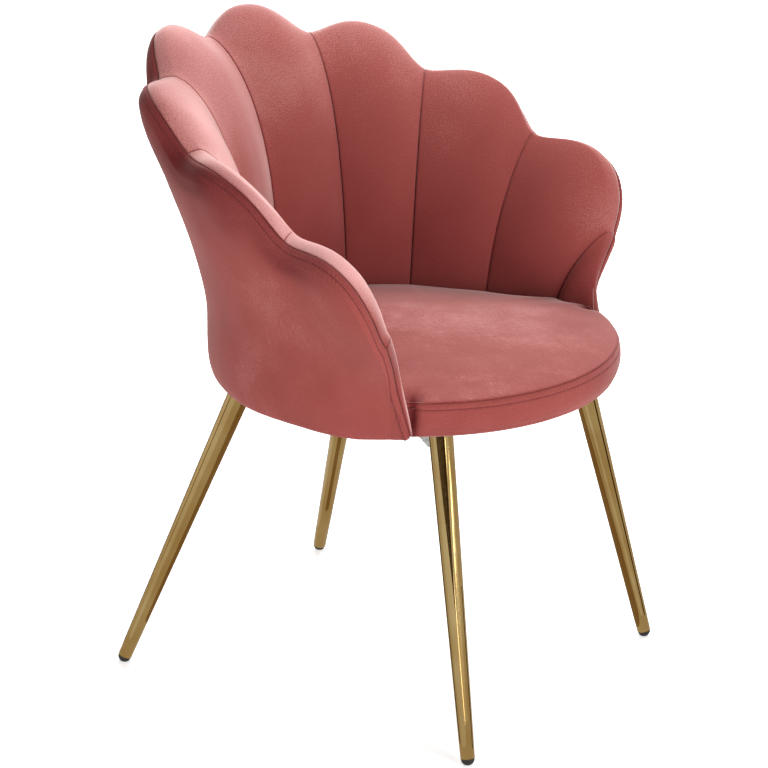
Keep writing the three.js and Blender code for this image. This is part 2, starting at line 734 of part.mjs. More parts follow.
// A hexagon-headed bolt with its pressed flange, up through the plate into the tee nut
function plateBolt(bolt) {
  const headTop = plateBottom - touch;
  const flangeBottom = headTop - boltFlangeHeight;
  const shank = new THREE.LatheGeometry([
    new THREE.Vector2(0, flangeBottom),
    new THREE.Vector2(boltFlangeRadius, flangeBottom),
    new THREE.Vector2(boltFlangeRadius, headTop),
    new THREE.Vector2(boltRadius, headTop),
    new THREE.Vector2(boltRadius, headTop + boltLength),
    new THREE.Vector2(0, headTop + boltLength),
  ], boltSegments);
  shank.rotateX(Math.PI / 2);
  const head = new THREE.CylinderGeometry(boltHeadRadius, boltHeadRadius, boltHeadHeight, boltHeadSides);
  head.rotateX(Math.PI / 2);
  head.translate(0, 0, flangeBottom + touch - boltHeadHeight / 2);
  const geometry = geometryFrom(solidFrom(shank).add(solidFrom(head)));
  geometry.translate(bolt.x, bolt.y, 0);
  return geometry;
}

// A tee nut driven into the seat board from above
function teeNut(bolt) {
  const bore = boltRadius + touch;
  const flangeBottom = seatBoardTop + touch / 2;
  const geometry = new THREE.LatheGeometry([
    new THREE.Vector2(bore, flangeBottom - teeNutLength),
    new THREE.Vector2(teeNutRadius, flangeBottom - teeNutLength),
    new THREE.Vector2(teeNutRadius, flangeBottom),
    new THREE.Vector2(teeNutFlange, flangeBottom),
    new THREE.Vector2(teeNutFlange, flangeBottom + teeNutFlangeThickness),
    new THREE.Vector2(bore, flangeBottom + teeNutFlangeThickness),
    new THREE.Vector2(bore, flangeBottom - teeNutLength),
  ], boltSegments);
  geometry.rotateX(Math.PI / 2);
  geometry.translate(bolt.x, bolt.y, 0);
  return geometry;
}

function boardCircle(radius) {
  return circlePoints(0, seatAxisY - seatBoardForward, radius, seatSectors);
}

// The seat board's outline: round, and cut back where the front band passes inside that circle
function seatBoardOutline() {
  return boardCircle(seatBoardRadius).map(({ x, y }) => {
    const angle = THREE.MathUtils.radToDeg(Math.atan2(x, y - seatAxisY));
    const radius = Math.hypot(x, y - seatAxisY);
    const insideBand = seatRadius(angle) - bandThickness - layerGap;
    const share = Math.abs(angle) < boardFitAngle ? 1 : Math.min(1, insideBand / radius);
    return new THREE.Vector2(x * share, seatAxisY + (y - seatAxisY) * share);
  });
}

// A sheet under or over the legs' plates, drilled for their bolts
function drilledSheet(outline, holeRadius, bottom, thickness) {
  const shape = new THREE.Shape(outline);
  for (const place of legPlaces()) {
    for (const bolt of boltPlaces(place)) shape.holes.push(holeAt(bolt, holeRadius));
  }
  return slab(shape, bottom, thickness);
}

const chair = new THREE.Group();
chair.add(named('seat_board', drilledSheet(
  seatBoardOutline(), teeNutRadius + screwGap, seatBoardBottom, seatBoardThickness,
), plywood()));
chair.add(named('dust_cover', drilledSheet(
  boardCircle(dustCoverRadius - seatBoardForward), boltRadius + screwGap,
  dustCoverTop - hemThickness, hemThickness,
), blackCloth()));
chair.add(named('back_shell_board', shellBoard(), plywood()));
chair.add(named('outer_back_cover', outerCover(), velvet()));
for (let channel = 0; channel < petals; channel += 1) {
  chair.add(named(`back_channel_left_${channel + 1}`, backChannel(channel, -1), velvet()));
  chair.add(named(`back_channel_right_${channel + 1}`, backChannel(channel, 1), velvet()));
}
chair.add(named('seat_foam', seatFoam(), foam()));
chair.add(named('seat_top_panel', seatTopPanel(), velvet()));
chair.add(named('seat_front_band', seatFrontBand(), velvet()));
for (const place of legPlaces()) {
  chair.add(named(`leg_${place.name}`, legTube(place), brass()));
  chair.add(named(`leg_plate_${place.name}`, legPlate(place), steel()));
  chair.add(named(`glide_${place.name}`, glide(place), blackPlastic()));
  boltPlaces(place).forEach((bolt, index) => {
    chair.add(named(`plate_bolt_${place.name}_${index + 1}`, plateBolt(bolt), steel()));
    chair.add(named(`tee_nut_${place.name}_${index + 1}`, teeNut(bolt), steel()));
  });
}

export default chair;
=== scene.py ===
import math

import bmesh
import bpy
import numpy as np
from mathutils import Matrix, Vector, kdtree


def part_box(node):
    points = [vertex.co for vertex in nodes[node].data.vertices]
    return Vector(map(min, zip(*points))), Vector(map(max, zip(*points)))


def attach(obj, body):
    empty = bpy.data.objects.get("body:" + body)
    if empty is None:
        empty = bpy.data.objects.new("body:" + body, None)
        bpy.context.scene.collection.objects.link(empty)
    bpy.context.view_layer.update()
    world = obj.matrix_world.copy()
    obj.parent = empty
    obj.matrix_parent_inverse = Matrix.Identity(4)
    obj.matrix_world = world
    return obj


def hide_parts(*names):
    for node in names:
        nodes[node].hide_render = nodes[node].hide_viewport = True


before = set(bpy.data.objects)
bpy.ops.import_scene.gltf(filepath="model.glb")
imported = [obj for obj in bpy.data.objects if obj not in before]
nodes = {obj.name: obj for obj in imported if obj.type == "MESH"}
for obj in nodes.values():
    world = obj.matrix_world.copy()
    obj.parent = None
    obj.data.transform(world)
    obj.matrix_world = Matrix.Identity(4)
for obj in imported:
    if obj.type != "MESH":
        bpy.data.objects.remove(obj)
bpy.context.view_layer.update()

# Legs
# Four tapered steel tubes with a pale polished brass plating. Each is welded to a plate under
# the seat and splays outwards, and a domed black glide is pressed into its lower end.

MM = 0.001
board_bottom = 430 * MM
front_leg = {"foot": (239 * MM, -284.5 * MM), "head": (172 * MM, -192 * MM)}
rear_leg = {"foot": (240 * MM, 273 * MM), "head": (130 * MM, 128 * MM)}
leg_foot_radius = 9.25 * MM
leg_head_radius = 16.1 * MM
leg_wall = 1.5 * MM
leg_lip = 0.6 * MM
leg_cut_height = 423.9 * MM
leg_start = 8.5 * MM
weld_height = 4 * MM
weld_reach = 2.2 * MM
glide_radius = 9 * MM
glide_centre = 8.2 * MM
glide_plug_radius = 7.4 * MM
glide_plug_length = 14 * MM
leg_sides = 96
lip_steps = 7
tube_steps = 9
weld_steps = 7
dome_steps = 18
dome_start = 0.02
crease_angle = math.radians(50)


def add_object(name, data):
    """A new object in the scene, for a mesh, a lamp or a camera."""
    made = bpy.data.objects.new(name, data)
    bpy.context.scene.collection.objects.link(made)
    return made


def ring_mesh(name, rings, joined=False):
    """A closed mesh through a row of equal rings, with its ends filled or joined to each other."""
    count, size = rings.shape[:2]
    index = np.arange(count * size).reshape(count, size)
    here = index if joined else index[:-1]
    after = np.roll(index, -1, axis=0) if joined else index[1:]
    quads = np.stack([here, np.roll(here, -1, axis=1), np.roll(after, -1, axis=1), after], -1)
    mesh = bpy.data.meshes.new(name)
    mesh.from_pydata(rings.reshape(-1, 3).tolist(), [], quads.reshape(-1, 4).tolist())
    made = bmesh.new()
    made.from_mesh(mesh)
    if not joined:
        made.verts.ensure_lookup_table()
        ends = [made.faces.new([made.verts[i] for i in index[row]]) for row in (0, -1)]
        bmesh.ops.triangulate(made, faces=ends, quad_method="BEAUTY", ngon_method="BEAUTY")
    bmesh.ops.recalc_face_normals(made, faces=made.faces)
    made.to_mesh(mesh)
    made.free()
    mesh.shade_smooth()
    return add_object(name, mesh)


def use_material(piece, material):
    piece.data.materials.clear()
    piece.data.materials.append(material)


def dress(piece, material, slot, *replaced):
    """Give a piece its material, in place of the solids that it stands for; its slot is not used."""
    use_material(piece, material)
    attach(piece, "root")
    if replaced:
        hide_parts(*replaced)


class LegAxis:
    """The slanted axis of one leg, from its foot on the floor to its head under the board."""

    def __init__(self, leg, side):
        self.foot = np.array([side * leg["foot"][0], leg["foot"][1], 0])
        reach = np.array([side * leg["head"][0], leg["head"][1], board_bottom]) - self.foot
        self.slope = (leg_head_radius - leg_foot_radius) / np.linalg.norm(reach)
        self.axis = reach / np.linalg.norm(reach)
        across = np.cross(self.axis, [0, 0, 1])
        across = across / np.linalg.norm(across)
        turns = np.linspace(0, 2 * math.pi, leg_sides, endpoint=False)[:, None]
        self.spokes = np.cos(turns) * across + np.sin(turns) * np.cross(across, self.axis)

    def ring(self, radius, along):
        return self.foot + self.axis * np.reshape(along, (-1, 1)) + self.spokes * radius

    def taper(self, inset, along):
        """A ring of the tapered tube's surface, inset from its outside."""
        radius = leg_foot_radius - inset + self.slope * np.reshape(along, (-1, 1))
        return self.ring(radius, along)

    def level_cut(self, inset, height):
        """Where the tube's surface meets a level height."""
        rise = self.spokes[:, 2]
        along = (height - (leg_foot_radius - inset) * rise) / (self.axis[2] + self.slope * rise)
        return self.taper(inset, along)


def leg_tube(name, leg):
    """The tube with a rolled lower lip, its inner wall, and the fillet of the weld at its head."""
    rings = [leg.level_cut(leg_wall, leg_cut_height), leg.taper(leg_wall, leg_start + leg_lip)]
    for turn in np.linspace(0, math.pi, lip_steps)[1:-1]:
        inset = leg_wall / 2 * (1 + math.cos(turn))
        rings.append(leg.taper(inset, leg_start + leg_lip * (1 - math.sin(turn))))
    rings.append(leg.taper(0, leg_start + leg_lip))
    for share in np.linspace(0, 1, tube_steps)[1:-1]:
        rings.append(leg.taper(0, leg_start + share * (leg_cut_height - weld_height - leg_start)))
    for share in np.linspace(0, 1, weld_steps):
        rings.append(leg.level_cut(-weld_reach * share ** 2, leg_cut_height - weld_height * (1 - share)))
    tube = ring_mesh(name, np.array(rings), joined=True)
    tube.data.set_sharp_from_angle(angle=crease_angle)
    return tube


def glide_plug(name, leg):
    """The domed plastic foot, worn level where it stands on the floor."""
    turns = np.linspace(dome_start, math.pi / 2, dome_steps)
    rings = [leg.ring(glide_radius * math.sin(t), glide_centre - glide_radius * math.cos(t)) for t in turns]
    rings.append(leg.ring(glide_plug_radius, glide_centre))
    rings.append(leg.ring(glide_plug_radius, glide_centre + glide_plug_length))
    rings = np.array(rings)
    rings[..., 2] = np.maximum(rings[..., 2], 0)
    glide = ring_mesh(name, rings)
    glide.data.set_sharp_from_angle(angle=crease_angle)
    return glide


def hex_colour(code):
    """A colour written as sRGB hex, in the linear numbers that the shaders take."""
    channels = [int(code[i:i + 2], 16) / 255 for i in (1, 3, 5)]
    linear = [c / 12.92 if c <= 0.04045 else ((c + 0.055) / 1.055) ** 2.4 for c in channels]
    return (*linear, 1.0)


def add_node(tree, kind, inputs=(), **settings):
    """A node with its settings, and each input set to a value, or linked from a socket or from the
    first output of a node."""
    node = tree.nodes.new(kind)
    for name, value in settings.items():
        setattr(node, name, value)
    for name, value in dict(inputs).items():
        if isinstance(value, bpy.types.Node):
            value = value.outputs[0]
        if isinstance(value, bpy.types.NodeSocket):
            tree.links.new(value, node.inputs[name])
        else:
            node.inputs[name].default_value = value
    return node


def new_material(name):
    material = bpy.data.materials.new(name)
    material.use_nodes = True
    material.node_tree.nodes.clear()
    return material, material.node_tree


def plated_brass():
    """Electroplated brass over polished steel: a warm pale mirror with faint lengthwise polishing
    lines, drawn 2 mm wide so that they show, and slow changes in the depth of its colour."""
    material, tree = new_material("polished_brass_plating")
    place = add_node(tree, "ShaderNodeTexCoord").outputs["Object"]
    cloud_size = 60 * MM
    clouds = add_node(tree, "ShaderNodeTexNoise", {"Vector": place, "Scale": 1 / cloud_size, "Detail": 3.0})
    tone = add_node(tree, "ShaderNodeMapRange", {0: clouds, 1: 0.3, 2: 0.7, 3: 0.0, 4: 1.0})
    colour = add_node(tree, "ShaderNodeMix", {
        0: tone, 6: hex_colour("#b59a66"), 7: hex_colour("#a68650"),
    }, data_type="RGBA")
    line_width = 2 * MM
    stretched = add_node(tree, "ShaderNodeMapping", {"Vector": place, "Scale": (1.0, 1.0, 0.05)})
    lines = add_node(tree, "ShaderNodeTexNoise", {
        "Vector": stretched, "Scale": 1 / line_width, "Detail": 4.0,
    })
    roughness = add_node(tree, "ShaderNodeMapRange", {0: lines, 1: 0.3, 2: 0.7, 3: 0.06, 4: 0.13})
    shader = add_node(tree, "ShaderNodeBsdfPrincipled", {
        "Base Color": colour.outputs[2], "Metallic": 1.0, "Roughness": roughness,
    })
    add_node(tree, "ShaderNodeOutputMaterial", {"Surface": shader})
    return material


def moulded_plastic():
    """Black polypropylene, injection moulded: a fine even grain that scuffs a little paler."""
    material, tree = new_material("black_moulded_polypropylene")
    place = add_node(tree, "ShaderNodeTexCoord").outputs["Object"]
    grain_size = 0.7 * MM
    grain = add_node(tree, "ShaderNodeTexNoise", {"Vector": place, "Scale": 1 / grain_size, "Detail": 2.0})
    scuff_size = 6 * MM
    scuffs = add_node(tree, "ShaderNodeTexNoise", {"Vector": place, "Scale": 1 / scuff_size, "Detail": 5.0})
    wear = add_node(tree, "ShaderNodeMapRange", {0: scuffs, 1: 0.55, 2: 0.75, 3: 0.0, 4: 1.0})
    colour = add_node(tree, "ShaderNodeMix", {
        0: wear, 6: hex_colour("#111013"), 7: hex_colour("#262528"),
    }, data_type="RGBA")
    bump = add_node(tree, "ShaderNodeBump", {"Height": grain, "Strength": 0.25, "Distance": 0.1 * MM})
    shader = add_node(tree, "ShaderNodeBsdfPrincipled", {
        "Base Color": colour.outputs[2], "Roughness": 0.45, "Normal": bump,
    })
    add_node(tree, "ShaderNodeOutputMaterial", {"Surface": shader})
    return material


brass = plated_brass()
plastic = moulded_plastic()
for row, leg in (("front", front_leg), ("rear", rear_leg)):
    for hand, side in (("left", -1), ("right", 1)):
        axis = LegAxis(leg, side)
        tube = leg_tube(f"tube_{row}_{hand}", axis)
        dress(tube, brass, "leg_metal", f"leg_{row}_{hand}")
        glide = glide_plug(f"foot_{row}_{hand}", axis)
        dress(glide, plastic, "black_plastic", f"glide_{row}_{hand}")

# Plates, bolts and tee nuts
# Each leg's plate is pressed steel with a welded gusset, bolted up into tee nuts in the seat
# board. All of it is zinc plated.


def zinc_plated_steel():
    """Bright zinc on pressed steel: a cool grey with small crystal flecks and a satin shine."""
    material, tree = new_material("zinc_plated_steel")
    place = add_node(tree, "ShaderNodeTexCoord").outputs["Object"]
    fleck_size = 3.5 * MM
    flecks = add_node(tree, "ShaderNodeTexVoronoi", {"Vector": place, "Scale": 1 / fleck_size})
    tone = add_node(tree, "ShaderNodeSeparateColor", {0: flecks.outputs["Color"]})
    colour = add_node(tree, "ShaderNodeMix", {
        0: tone, 6: hex_colour("#a9a9a7"), 7: hex_colour("#c3c3c1"),
    }, data_type="RGBA")
    roughness = add_node(tree, "ShaderNodeMapRange", {0: tone, 1: 0.0, 2: 1.0, 3: 0.32, 4: 0.5})
    shader = add_node(tree, "ShaderNodeBsdfPrincipled", {
        "Base Color": colour.outputs[2], "Metallic": 1.0, "Roughness": roughness,
    })
    add_node(tree, "ShaderNodeOutputMaterial", {"Surface": shader})
    return material


zinc = zinc_plated_steel()
for name, node in nodes.items():
    if name.startswith(("leg_plate_", "plate_bolt_", "tee_nut_")):
        use_material(node, zinc)

# Boards
# The seat board and the moulded shell are beech plywood, hidden by the upholstery.


def beech_plywood():
    """Rotary-cut beech veneer: pale tan with long faint grain and short dark flecks."""
    material, tree = new_material("beech_plywood")
    place = add_node(tree, "ShaderNodeTexCoord").outputs["Object"]
    grain_width = 4 * MM
    stretched = add_node(tree, "ShaderNodeMapping", {"Vector": place, "Scale": (1.0, 0.08, 1.0)})
    grain = add_node(tree, "ShaderNodeTexNoise", {
        "Vector": stretched, "Scale": 1 / grain_width, "Detail": 5.0,
    })
    colour = add_node(tree, "ShaderNodeMix", {
        0: grain, 6: hex_colour("#b98f5f"), 7: hex_colour("#d8b587"),
    }, data_type="RGBA")
    shader = add_node(tree, "ShaderNodeBsdfPrincipled", {"Base Color": colour.outputs[2], "Roughness": 0.7})
    add_node(tree, "ShaderNodeOutputMaterial", {"Surface": shader})
    return material


plywood = beech_plywood()
for name in ("seat_board", "back_shell_board"):
    use_material(nodes[name], plywood)

# Dust cover
# A round of black spunbond cloth, stretched over the underside of the seat board and stapled
# there under the hems. The legs' bolts pass through it.

dust_rings = 56
dust_sectors = 200
dust_thickness = 0.5 * MM
dust_wrinkle = 0.22 * MM
dust_wrinkle_count = 31
dust_wrinkle_fade = 6
bolt_hole_radius = 4.6 * MM
lowest, highest = (np.array(corner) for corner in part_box("dust_cover"))
dust_middle = (lowest + highest) / 2
dust_radius = (highest[0] - lowest[0]) / 2


def spunbond_cloth():
    """Black spunbond polypropylene: matt, with the grid of small bonded dots it is pressed with."""
    material, tree = new_material("black_spunbond_cloth")
    place = add_node(tree, "ShaderNodeTexCoord").outputs["Object"]
    dot_spacing = 2 * MM
    dots = add_node(tree, "ShaderNodeTexVoronoi", {
        "Vector": place, "Scale": 1 / dot_spacing, "Randomness": 0.15,
    })
    dot = add_node(tree, "ShaderNodeMapRange", {0: dots.outputs["Distance"], 1: 0.15, 2: 0.4, 3: 0.0, 4: 1.0})
    colour = add_node(tree, "ShaderNodeMix", {
        0: dot, 6: hex_colour("#121112"), 7: hex_colour("#262425"),
    }, data_type="RGBA")
    bump = add_node(tree, "ShaderNodeBump", {"Height": dot, "Strength": 0.6, "Distance": 0.2 * MM})
    shader = add_node(tree, "ShaderNodeBsdfPrincipled", {
        "Base Color": colour.outputs[2], "Roughness": 0.9, "Normal": bump,
    })
    add_node(tree, "ShaderNodeOutputMaterial", {"Surface": shader})
    return material


def dust_cover_cloth():
    """The stretched round, with faint wrinkles that run in from its edge, cut out at the bolts."""
    shares = np.linspace(0, 1, dust_rings + 1)[1:, None]
    turns = np.linspace(0, 2 * math.pi, dust_sectors, endpoint=False)[None, :]
    wander = 2 * np.sin(turns * 3)
    wrinkles = np.sin(turns * dust_wrinkle_count + wander) * shares ** dust_wrinkle_fade
    points = np.stack([
        dust_middle[0] + dust_radius * shares * np.cos(turns),
        dust_middle[1] + dust_radius * shares * np.sin(turns),
        dust_middle[2] + dust_wrinkle * wrinkles,
    ], -1)
    index = np.arange(dust_rings * dust_sectors).reshape(dust_rings, dust_sectors)
    beside = np.roll(index, -1, axis=1)
    faces = np.stack([index[:-1], index[1:], beside[1:], beside[:-1]], -1).reshape(-1, 4).tolist()
    faces.append(index[0].tolist())
    mesh = bpy.data.meshes.new("dust_cover_cloth")
    mesh.from_pydata(points.reshape(-1, 3).tolist(), [], faces)
    made = bmesh.new()
    made.from_mesh(mesh)
    bolts = [np.array(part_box(name)).mean(0) for name in nodes if name.startswith("plate_bolt_")]
    cut = []
    for face in made.faces:
        x, y, _ = face.calc_center_median()
        if min(math.hypot(x - bolt[0], y - bolt[1]) for bolt in bolts) < bolt_hole_radius:
            cut.append(face)
    bmesh.ops.delete(made, geom=cut, context="FACES")
    made.to_mesh(mesh)
    made.free()
    mesh.shade_smooth()
    cloth = add_object("dust_cover_cloth", mesh)
    wall = cloth.modifiers.new("thickness", "SOLIDIFY")
    wall.thickness = dust_thickness
    wall.offset = 0
    return cloth


dust_cover = dust_cover_cloth()
dress(dust_cover, spunbond_cloth(), "dust_cloth", "dust_cover")

# Outer cover
# One piece of velvet, pulled over thin wadding round the outside of the moulded shell and
# stapled under the seat. It is sewn to the channels round the scalloped rim, and a row of
# topstitching holds the seam flat.

seat_axis_y = -38 * MM
pad_foot = 449.8 * MM
wrap_angle = math.radians(123)
foot_wrap_angle = math.radians(121)
notch_top_height = 829 * MM
arm_end_height = 446 * MM
back_reach = 331 * MM
petal_rise = 38 * MM
petal_swell = 30 * MM
petal_lean = 12 * MM
outer_swell = 10.6 * MM
outer_swell_reach = 90 * MM
inner_foot_radius = 215 * MM
channel_puff = 13.5 * MM
outer_foot_radius = 270.5 * MM
outer_top_radius = 356 * MM
flare_top_height = 838 * MM
flare_start_share = 0.17
rim_drop = 26 * MM
rim_drop_share = 0.45
cover_thickness = 8 * MM
cover_end_thickness = 4 * MM
cover_sag = 11.5 * MM
cover_hem = 24 * MM
curl_top = 458 * MM
board_thickness = 12 * MM
board_inset = 30 * MM
board_inset_share = 0.6
layer_gap = 0.8 * MM
corner_tilt = math.radians(75)

# Shares of those sizes at the seams, from the middle of the back to the arm's end
seam_angle_shares = (0, 0.2442, 0.4927, 0.7504, 0.9553, 1)
foot_angle_shares = (0, 0.2727, 0.4711, 0.7107, 0.9008, 1)
notch_height_shares = (1, 0.958, 0.812, 0.62, 0.3106, 0)
notch_reach_shares = (0.992, 0.944, 0.915, 0.879, 0.93, 0.844)
inner_foot_shares = (1, 0.995, 0.949, 1.009, 1.181, 1.3)
outer_foot_shares = (1, 1, 1.002, 1.024, 1.064, 1.078)
outer_top_shares = (1, 0.989, 0.955, 0.896, 1.022, 0.889)
flare_height_shares = (1.064, 0.991, 0.87, 0.643, 0.427, 0.09)
hollow_power_shares = (2.8, 2.8, 2.5, 2.3, 2.3, 2.3)
hollow_round_shares = (0.62, 0.62, 0.7, 0.8, 0.75, 0.75)
seam_tilts = (45.8, 34.5, 33.4, 47, 49, 60)
# Shares for each petal
petal_rise_shares = np.array((0.963, 0.836, 0.746, 1.12, -0.04))
petal_swell_shares = np.array((0.676, 0.847, 0.559, 0.816, -0.346))
petal_lean_shares = np.array((-0.18, -0.03, -0.06, -0.63, 0))
outer_swell_shares = np.array((0.877, 1, 0.89, 0.47, 0.28))
# The padding fills the last notch, and the arm's end reaches down beside the board
last_notch_fill = 3 * MM
last_notch_place = 3.86
last_notch_width = 0.13
arm_end_fill = 2.5 * MM
arm_end_place = 4.2
arm_end_width = 0.3
fill_forwards_share = 0.85
fill_upwards_share = 0.5
arm_end_droop = 14 * MM
arm_end_droop_power = 3
petal_power = 2.3
petal_round = 1.86
puff_power = 2.2
puff_foot_share = 0.55
puff_full_share = 0.3
puff_fade_power = 6
petals = len(petal_rise_shares)


def ease(share):
    share = np.clip(share, 0, 1)
    return share * share * (3 - 2 * share)


def hump(value, centre, width):
    """1 at a centre, falling away smoothly on both sides of it."""
    return np.exp(-((value - centre) / width) ** 2)


def straight(shares, place):
    """A value that runs straight between the shares of a table."""
    return np.interp(place, range(len(shares)), shares)


def smooth(shares, place):
    """A value that runs smoothly through the shares of a table."""
    table = np.array(shares, float)
    index = np.clip(np.floor(place).astype(int), 0, len(table) - 2)
    start, end = table[index], table[index + 1]
    before = table[np.maximum(index - 1, 0)]
    after = table[np.minimum(index + 2, len(table) - 1)]
    t = place - index
    bend = t * (1 - t)
    leaving = (end - before) / 2 * bend * (1 - t)
    arriving = (after - start) / 2 * bend * t
    return start + (end - start) * ease(t) + leaving - arriving


def notch_height(place):
    return arm_end_height + (notch_top_height - arm_end_height) * straight(notch_height_shares, place)


def outer_radius(angle, height):
    """The smooth outer face of the shell, which swells with each petal near the rim."""
    place = np.interp(np.abs(angle), np.array(seam_angle_shares) * wrap_angle, range(petals + 1))
    foot = outer_foot_radius * smooth(outer_foot_shares, place)
    top = outer_top_radius * smooth(outer_top_shares, place)
    flare = (flare_top_height - board_bottom) * smooth(flare_height_shares, place)
    climb = np.clip((height - board_bottom) / flare, 0, 1)
    channel = np.minimum(np.floor(place).astype(int), petals - 1)
    swell = outer_swell * outer_swell_shares[channel] * np.sin(math.pi * (place - channel)) ** 2
    swollen = ease((height - notch_height(place)) / outer_swell_reach + 1)
    return foot + (top - foot) * ease((climb - flare_start_share) / (1 - flare_start_share)) + swell * swollen


def around(radius, turn, height):
    """Points about the shell's upright axis, turned from the middle of the back."""
    height = height + 0 * radius
    return np.stack([radius * np.sin(turn), seat_axis_y + radius * np.cos(turn), height], -1)


class ShellLines:
    """Upright lines of the shell, each from the seat to the rim, as arrays down the first axis."""

    def __init__(self, channel, across, side):
        place = channel + across
        angles = np.array(seam_angle_shares) * wrap_angle
        heights = notch_height(np.arange(petals + 1))
        reaches = np.array(notch_reach_shares)
        middle = back_reach * (reaches[channel] + reaches[channel + 1]) / 2
        run = (angles[channel + 1] - angles[channel]) * middle
        climb = heights[channel + 1] - heights[channel]
        chord = math.hypot(run, climb)
        bulge = (1 - np.abs(2 * across - 1) ** petal_power) ** petal_round
        rise = petal_rise * petal_rise_shares[channel] * bulge
        lean = petal_lean * petal_lean_shares[channel] * bulge
        self.place = place
        self.side = side
        self.across = across
        self.last = channel == petals - 1
        self.rim_angle = angles[channel] + (run * (chord * across + lean) - climb * rise) / chord / middle
        self.rim_height = heights[channel] + (climb * (chord * across + lean) + run * rise) / chord
        fuller = last_notch_fill * hump(place, last_notch_place, last_notch_width)
        fuller = fuller + arm_end_fill * hump(place, arm_end_place, arm_end_width)
        self.rim_angle = self.rim_angle + fill_forwards_share * fuller / middle
        self.rim_height = self.rim_height + fill_upwards_share * fuller
        self.rim_height = self.rim_height - arm_end_droop * across ** arm_end_droop_power * self.last
        swell = petal_swell * petal_swell_shares[channel] * bulge
        self.rim_radius = back_reach * straight(notch_reach_shares, place) + swell
        self.foot_height = pad_foot - (pad_foot - board_bottom) * across ** 2 * self.last
        self.foot_angle = foot_wrap_angle * straight(foot_angle_shares, place)
        self.foot_radius = inner_foot_radius * straight(inner_foot_shares, place)
        span = self.rim_height - self.foot_height
        self.drop = np.minimum(rim_drop, span * rim_drop_share)
        self.inset = np.minimum(board_inset, span * board_inset_share)
        self.shoulder = self.rim_height - self.drop
        self.cover = cover_thickness + (cover_end_thickness - cover_thickness) * across * self.last
        self.power = straight(hollow_power_shares, place)
        self.round = straight(hollow_round_shares, place)
        self.seam_tilt = np.radians(straight(seam_tilts, place))
        self.puff = channel_puff * (1 - across * self.last) * (1 - np.abs(2 * across - 1) ** puff_power)

    def angle(self, height):
        share = np.clip((height - self.foot_height) / (self.rim_height - self.foot_height), 0, 1)
        return self.foot_angle + (self.rim_angle - self.foot_angle) * share

    def at(self, radius, height):
        """Points in the part's frame, one for each line."""
        return around(radius, self.side * self.angle(height), height)

    def pad_radius(self, share):
        depth = (self.rim_radius - self.foot_radius) * (1 - share ** self.power) ** self.round
        fullness = puff_foot_share + (1 - puff_foot_share) * np.minimum(share / puff_full_share, 1)
        return self.rim_radius - depth - self.puff * fullness * (1 - share ** puff_fade_power)

    def pad(self, share):
        """A point of the padded inner face, from the seat (0) to the rim (1)."""
        height = self.foot_height + (self.rim_height - self.foot_height) * share
        return self.at(self.pad_radius(share), height)

    def skin(self, height, depth):
        """A point inset from the outer face by a depth."""
        return self.at(outer_radius(self.angle(height), height) - depth, height)

    def corner(self, tilt, depth):
        """A point of the rim's round outer corner, tilted from its top."""
        reach = outer_radius(self.angle(self.shoulder), self.shoulder) - self.rim_radius
        radius = self.rim_radius + (reach - depth) * np.sin(tilt)
        return self.at(radius, self.shoulder + (self.drop - depth) * np.cos(tilt))


end_length = 3 * MM
end_rings = 4


def rounded_end(rings):
    """Rings that carry the last one forwards and close it in, for a soft padded end."""
    last, before = rings[-1], rings[-2]
    middle = last.mean(0)
    forward = (last - before).mean(0)
    forward = forward / np.linalg.norm(forward)
    turns = np.linspace(0, math.pi / 2, end_rings + 2)[1:-1]
    extra = [middle + (last - middle) * math.cos(t) + forward * end_length * math.sin(t) for t in turns]
    return np.concatenate([rings, np.array(extra)])


def carried_on(values):
    """Values for each ring, with those of the last ring kept for the rings of its rounded end."""
    return np.pad(values, ((0, end_rings), (0, 0)), mode="edge")


def run_along(points, axis=0):
    """How far each point lies along its row of points."""
    steps = np.linalg.norm(np.diff(points, axis=axis), axis=-1)
    return np.insert(np.cumsum(steps, axis=axis), 0, 0, axis=axis)


def surface_normals(grid, towards):
    """Unit normals of a grid of points, on the side of it that a point lies."""
    normal = np.cross(np.gradient(grid, axis=0), np.gradient(grid, axis=1))
    normal = normal / np.maximum(np.linalg.norm(normal, axis=-1, keepdims=True), 1e-12)
    middle = tuple(size // 2 for size in grid.shape[:2])
    return normal * np.sign(normal[middle] @ (towards - grid[middle]))


def ripple(place, scale, seed):
    """A smooth wandering value about 0, the same each run, from a few waves of one length."""
    draws = np.random.default_rng(seed)
    total = np.zeros(place.shape[:-1])
    waves = 7
    for _ in range(waves):
        direction = draws.normal(size=3)
        direction = direction / np.linalg.norm(direction)
        pitch = scale * draws.uniform(0.7, 1.5)
        total = total + np.sin(place @ direction * 2 * math.pi / pitch + draws.uniform(0, 2 * math.pi))
    return total / math.sqrt(waves)


def distance_to(path, points):
    """How far points lie from a path of points, and how far along the path the nearest one is."""
    tree = kdtree.KDTree(len(path))
    for index, point in enumerate(path):
        tree.insert(point, index)
    tree.balance()
    found = [tree.find(point) for point in points.reshape(-1, 3)]
    far = np.array([distance for _, _, distance in found]).reshape(points.shape[:-1])
    along = run_along(path)[np.array([index for _, index, _ in found])]
    return far, along.reshape(points.shape[:-1])


